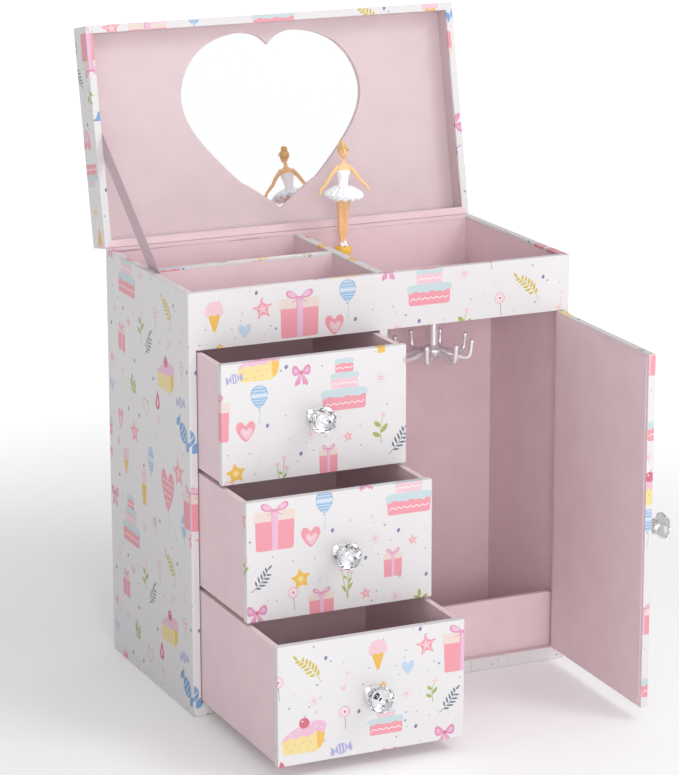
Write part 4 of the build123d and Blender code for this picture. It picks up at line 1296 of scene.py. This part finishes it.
def dancer():
    torso = [ellipse_ring(0, 0, z, rx, ry) for z, rx, ry in (
        (HIP - 3, 2.6, 2.4), (HIP, 4.4, 3.4), (HIP + 3, 4.2, 3.2), (WAIST - 2, 3.1, 2.5), (WAIST, 2.8, 2.2),
        (WAIST + 3, 3.4, 2.6),
        (BUST, 4.1, 3.1), (BUST + 2.2, 4.2, 2.7), (SHOULDER, 4.4, 2.1), (SHOULDER + 1.2, 3.0, 1.7),
        (NECK - 1.2, 1.35, 1.35),
        (NECK + 2.4, 1.2, 1.25),
    )]
    parts = [lofted("torso", torso, skin)]
    for s in (-1, 1):
        leg = [(s * 2.1, 0.1, HIP - 1), (s * 2.0, 0.0, 27), (s * 1.9, 0.1, 20), (s * 1.75, 0.2, 15),
               (s * 1.6, 0.5, 10), (s * 1.25, 0.5, 5.5),
               (s * 0.95, 0.2 - s * 0.5, 2.6), (s * 0.9, -0.2 - s * 0.8, 1.2)]
        parts.append(lofted("leg", limb(leg, [2.6, 2.45, 2.1, 1.8, 1.9, 1.35, 1.1, 1.0]), skin))
        arm = [(s * 3.4, 0.2, SHOULDER + 0.2), (s * 5.2, 0.0, SHOULDER - 1.4), (s * 8.3, -0.3, 46.2),
               (s * 11.0, -0.7, 42.0), (s * 13.8, -1.0, 39.2),
               (s * 15.6, -1.2, 37.4), (s * 16.6, -1.5, 35.6), (s * 17.1, -1.9, 33.6)]
        parts.append(lofted("arm", limb(arm, [1.6, 1.5, 1.3, 1.2, 1.1, 0.9, 0.95, 0.45]), skin))
        parts.append(lofted("thumb", limb(
            [(s * 16.0, -1.4, 36.6), (s * 16.0, -2.2, 35.4), (s * 16.2, -2.6, 34.6)], [0.45, 0.4, 0.25], 8),
            skin))
        parts.append(lofted("ear", [ellipse_ring(s * 3.0, 0.6, HEAD - 0.6 + z, 0.35, r, 8) for z,
                                    r in ((-0.9, 0.2), (-0.4, 0.55), (0.3, 0.65), (0.8, 0.3))], skin))
    head = [ellipse_ring(0, y, z, rx, ry) for z, y, rx, ry in (
        (HEAD - 4.3, -1.1, 0.6, 0.6), (HEAD - 3.9, -0.9, 1.5, 1.6), (HEAD - 3.0, -0.5, 2.2, 2.4),
        (HEAD - 1.6, -0.1, 2.8, 3.1),
        (HEAD, 0.1, 3.15, 3.4), (HEAD + 1.6, 0.2, 3.1, 3.35), (HEAD + 2.8, 0.3, 2.5, 2.8),
        (HEAD + 3.6, 0.3, 1.5, 1.8), (HEAD + 3.9, 0.3, 0.4, 0.5),
    )]
    parts.append(lofted("head", head, skin))
    nose = [ellipse_ring(0, y, HEAD + z, r, r * 1.2, 8) for z, y,
            r in ((-1.5, -3.0, 0.3), (-1.2, -3.35, 0.45), (-0.6, -3.2, 0.35), (0.2, -3.0, 0.2))]
    parts.append(lofted("nose", nose, skin))
    figure = fused("ballerina_skin", parts, 0.28, skin)

    bodice = [ellipse_ring(0, 0, z, rx + 0.3, ry + 0.3) for z, rx, ry in (
        (HIP + 2, 4.3, 3.3), (WAIST - 2, 3.1, 2.5), (WAIST, 2.8, 2.2), (WAIST + 3, 3.4, 2.6),
        (BUST, 4.15, 3.1), (BUST + 1.6, 4.2, 2.8))]
    for i, (x, y, z) in enumerate(bodice[-1]):    # a sweetheart neckline
        front = max(0.0, -y / 3.1)
        bodice[-1][i] = (x, y, z + front * (0.9 * cos(x * 1.5 + pi)) + 0.2)
    clothes = [lofted("bodice", bodice, dress)]
    for s in (-1, 1):
        clothes.append(lofted("cup", [ellipse_ring(s * 1.9, -2.3, BUST + z, rx, ry, 14) for z, rx, ry in (
            (-2.0, 0.6, 0.4), (-1.2, 1.5, 1.0), (0, 1.9, 1.25), (1.1, 1.5, 1.0), (1.7, 0.6, 0.4))], dress))
    bodice_skin = fused("ballerina_bodice", clothes, 0.26, dress, 1)

    cap = [ellipse_ring(0, y, HEAD + z, rx, ry) for z, y, rx, ry in (
        (-2.2, 1.9, 1.6, 1.5), (-1.0, 1.2, 2.9, 2.6), (0.4, 0.85, 3.35, 3.1), (1.6, 0.45, 3.35, 3.35),
        (2.6, 0.3, 2.95, 3.2),
        (3.5, 0.3, 2.1, 2.4), (4.15, 0.3, 0.9, 1.1))]
    locks = [lofted("cap", cap, hair)]
    swirl = [
        (0.9 * cos(a) * (1.7 - a / 11), 1.7 + 0.9 * sin(a) * (1.7 - a / 11),
         HEAD + 4.1 + a * 0.14) for a in (k * pi / 5 for k in range(23))
    ]
    locks.append(lofted("coil", limb(swirl, [1.0] * 18 + [0.9, 0.8, 0.7, 0.6, 0.4], 10), hair))
    locks.append(lofted("bun", [ellipse_ring(0, 1.7, HEAD + z, r, r, 16) for z,
                                r in ((3.4, 1.6), (4.2, 2.1), (5.2, 2.1), (6.0, 1.5), (6.4, 0.6))], hair))
    for s in (-1, 1):                             # the fringe swept to each side
        locks.append(lofted("sweep", limb([(0.2 * s, -2.9, HEAD + 2.9), (s * 1.6, -2.9, HEAD + 2.4),
                                           (s * 2.8, -1.8, HEAD + 1.2), (s * 3.2, -0.2, HEAD + 0.2)],
                                          [0.5, 0.75, 0.7, 0.4], 10), hair))
    hair_piece = fused("ballerina_hair", locks, 0.22, hair, 1)

    shoes = []
    for s in (-1, 1):
        toe = [(s * 0.9, 0.5 - s * 0.6, 3.4), (s * 0.9, 0.0 - s * 0.8, 2.0), (s * 1.0, -0.8 - s * 0.8, 1.0),
               (s * 1.3, -2.0 - s * 0.6, 0.7), (s * 1.7, -2.9 - s * 0.4, 0.55)]
        shoes.append(lofted("slipper", limb(toe, [1.1, 1.2, 1.15, 1.0, 0.55], 12), dress))
    slippers = fused("ballerina_slippers", shoes, 0.24, dress, 1)

    paint = []
    for s in (-1, 1):
        paint.append(lofted("eye", [ellipse_ring(s * 1.15, -3.05, HEAD + 0.1 + z, rx, 0.28, 12) for z,
                                    rx in ((-0.28, 0.15), (0, 0.42), (0.24, 0.2))], doll_paint))
        paint.append(lofted("brow", limb([(s * 0.6, -3.1, HEAD + 1.0), (s * 1.2, -3.05, HEAD + 1.2),
                                          (s * 1.8, -2.75, HEAD + 1.0)], [0.12, 0.16, 0.08], 8), doll_paint))
    eyes = fused("ballerina_eyes", paint, 0.09, doll_paint, 1)
    mouth = lofted("ballerina_mouth", [ellipse_ring(0, -2.75, HEAD - 2.35 + z, rx, 0.3, 12) for z,
                                       rx in ((-0.25, 0.15), (-0.05, 0.6), (0.12, 0.45), (0.2, 0.1))],
                                       lip_paint)
    for made, slot in ((figure, "doll_skin"), (bodice_skin, "doll_dress"), (hair_piece, "doll_skin"),
                       (slippers, "doll_dress"),
                       (eyes, "doll_skin"), (mouth, "doll_skin")):
        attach(made, "ballerina")
    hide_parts("ballerina_figure")


def tutu():
    """Three stiff ruffled layers, their edges scalloped."""
    layers = []
    steps, rings = 144, 9
    for layer, (drop_by, edge, ripples, phase) in enumerate(((0.0, 12.3, 16, 0.0), (1.1, 12.7, 18, 0.7),
                                                             (2.1, 12.0, 15, 1.9))):
        verts, faces = [], []
        for r in range(rings):
            t = r / (rings - 1)
            for i in range(steps):
                a = 2 * pi * i / steps
                wave = sin(ripples * a + phase) * t
                radius = 3.3 + (edge - 3.3) * t ** 0.9 * (1 + 0.035 * cos(ripples * a + phase) * t)
                z = HIP + 5.4 - drop_by * (0.35 + 0.65 * t) - 5.0 * t ** 1.5 + 0.55 * wave
                verts.append((radius * cos(a), radius * sin(a), z))
        for r in range(rings - 1):
            for i in range(steps):
                faces.append((r * steps + i, r * steps + (i + 1) % steps, (r + 1) * steps + (i + 1) % steps,
                              (r + 1) * steps + i))
        made = piece(f"tutu_layer_{layer + 1}", verts, faces, [dress], matrix=DOLL, smooth=True)
        body = bmesh.new()
        body.from_mesh(made.data)
        bmesh.ops.reverse_faces(body, faces=body.faces)
        body.to_mesh(made.data)
        body.free()
        thick = made.modifiers.new("thickness", "SOLIDIFY")
        thick.thickness, thick.offset = 0.28 * MM, 0
        layers.append(made)
    for made in layers:
        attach(made, "ballerina")
    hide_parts("ballerina_tutu")


def stand():
    """The round yellow base, with rounded edges, and the coil spring under it."""
    profile = [(0.5, 0), (4.4, 0), (5.0, -0.15), (5.3, -0.6), (5.3, -3.9), (5.15, -4.4), (4.9, -4.6),
               (4.4, -5.0), (0.5, -5.0)]
    made = lofted("ballerina_stand", turned(profile[::-1], 48), doll_base)
    smooth_by_angle(made, 35)
    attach(made, "ballerina")
    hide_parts("ballerina_base")
    low, high = cad("ballerina_spring")
    turns, wire = 9, 0.42
    steps = turns * 20
    path = []
    for k in range(steps + 1):
        a = 2 * pi * turns * k / steps
        rise = wire + (high.z - low.z - 2 * wire) * k / steps
        path.append((AXIS_X + (3.0 - wire) * cos(a), AXIS_Y + (3.0 - wire) * sin(a), low.z + rise))
    coil = lofted("ballerina_coil", tube(path, [wire] * len(path), 10), steel, Matrix.Identity(4))
    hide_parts("ballerina_spring")
    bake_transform(coil)


dancer()
tutu()
stand()


# ---------------------------------------------------------------- floor, light and camera
def floor():
    """A pale floor with a painted glow: emission that rises away from the object, in place of a lit sweep's
    light.
    """
    size = 6.0
    mesh = bpy.data.meshes.new("floor")
    mesh.from_pydata([(-size, -size, -0.0003), (size, -size, -0.0003), (size, size, -0.0003),
                      (-size, size, -0.0003)], [], [(0, 1, 2, 3)])
    white = material("floor_white", "F4F4F5", 0.7, (40, 0.01, 0.03, ROUND))
    tree = white.node_tree
    shader = tree.nodes["Principled BSDF"]
    place = tree.nodes.new("ShaderNodeTexCoord")
    far = tree.nodes.new("ShaderNodeVectorMath")
    far.operation = "LENGTH"
    # painted glow: emission strength from 0.04 near the object to 0.42 away from it
    painted_glow = tree.nodes.new("ShaderNodeMapRange")
    painted_glow.interpolation_type = "SMOOTHSTEP"
    painted_glow.inputs["From Min"].default_value, painted_glow.inputs["From Max"].default_value = 0.25, 0.9
    painted_glow.inputs["To Min"].default_value, painted_glow.inputs["To Max"].default_value = 0.04, 0.42
    tree.links.new(place.outputs["Object"], far.inputs[0])
    tree.links.new(far.outputs["Value"], painted_glow.inputs["Value"])
    tree.links.new(painted_glow.outputs["Result"], shader.inputs["Emission Strength"])
    shader.inputs["Emission Color"].default_value = (1, 1, 1, 1)
    mesh.materials.append(white)
    made = bpy.data.objects.new("floor", mesh)
    bpy.context.scene.collection.objects.link(made)


def sky():
    """A soft studio: brighter above and to the right in front."""
    world = bpy.data.worlds.new("studio")
    bpy.context.scene.world = world
    world.use_nodes = True
    tree = world.node_tree
    background = tree.nodes["Background"]
    place = tree.nodes.new("ShaderNodeTexCoord")
    towards = tree.nodes.new("ShaderNodeVectorMath")
    towards.operation = "DOT_PRODUCT"
    towards.inputs[1].default_value = Vector((0.5, -0.72, 0.5)).normalized()
    ramp = tree.nodes.new("ShaderNodeMapRange")
    ramp.inputs["From Min"].default_value, ramp.inputs["From Max"].default_value = -0.7, 1.0
    ramp.inputs["To Min"].default_value, ramp.inputs["To Max"].default_value = 0.3, 1.04
    tree.links.new(place.outputs["Generated"], towards.inputs[0])
    tree.links.new(towards.outputs["Value"], ramp.inputs["Value"])
    tree.links.new(ramp.outputs["Result"], background.inputs["Strength"])
    background.inputs["Color"].default_value = (1, 1, 1, 1)


def lamp(name, place, aim, size, watts):
    light = bpy.data.lights.new(name, "AREA")
    light.shape, light.size, light.energy = "DISK", size, watts
    made = bpy.data.objects.new(name, light)
    made.location = place
    made.rotation_mode = "QUATERNION"
    made.rotation_quaternion = (Vector(aim) - Vector(place)).to_track_quat("-Z", "Y")
    bpy.context.scene.collection.objects.link(made)


def camera():
    """The photograph's viewpoint: 24.5 degrees to the left of the front, 14.9 above."""
    data = bpy.data.cameras.new("camera")
    data.sensor_width, data.lens = 36.0, 143.8
    data.clip_start, data.clip_end = 0.05, 30.0
    made = bpy.data.objects.new("camera", data)
    right = Vector((0.90977, -0.41511, -0.00225))
    up = Vector((0.10864, 0.23285, 0.96643))
    back = right.cross(up)
    made.matrix_world = Matrix((
        (right.x, up.x, back.x, -0.76537), (right.y, up.y, back.y, -1.6840),
        (right.z, up.z, back.z, 0.66483), (0, 0, 0, 1)
    ))
    bpy.context.scene.collection.objects.link(made)
    bpy.context.scene.camera = made


floor()
sky()
lamp("key", (1.3, -1.5, 2.1), (0, 0, 0.12), 1.0, 16)
lamp("fill", (-0.7, -2.4, 0.7), (0.06, 0, 0.12), 0.9, 19)
camera()
bpy.context.scene.view_settings.view_transform = "Standard"
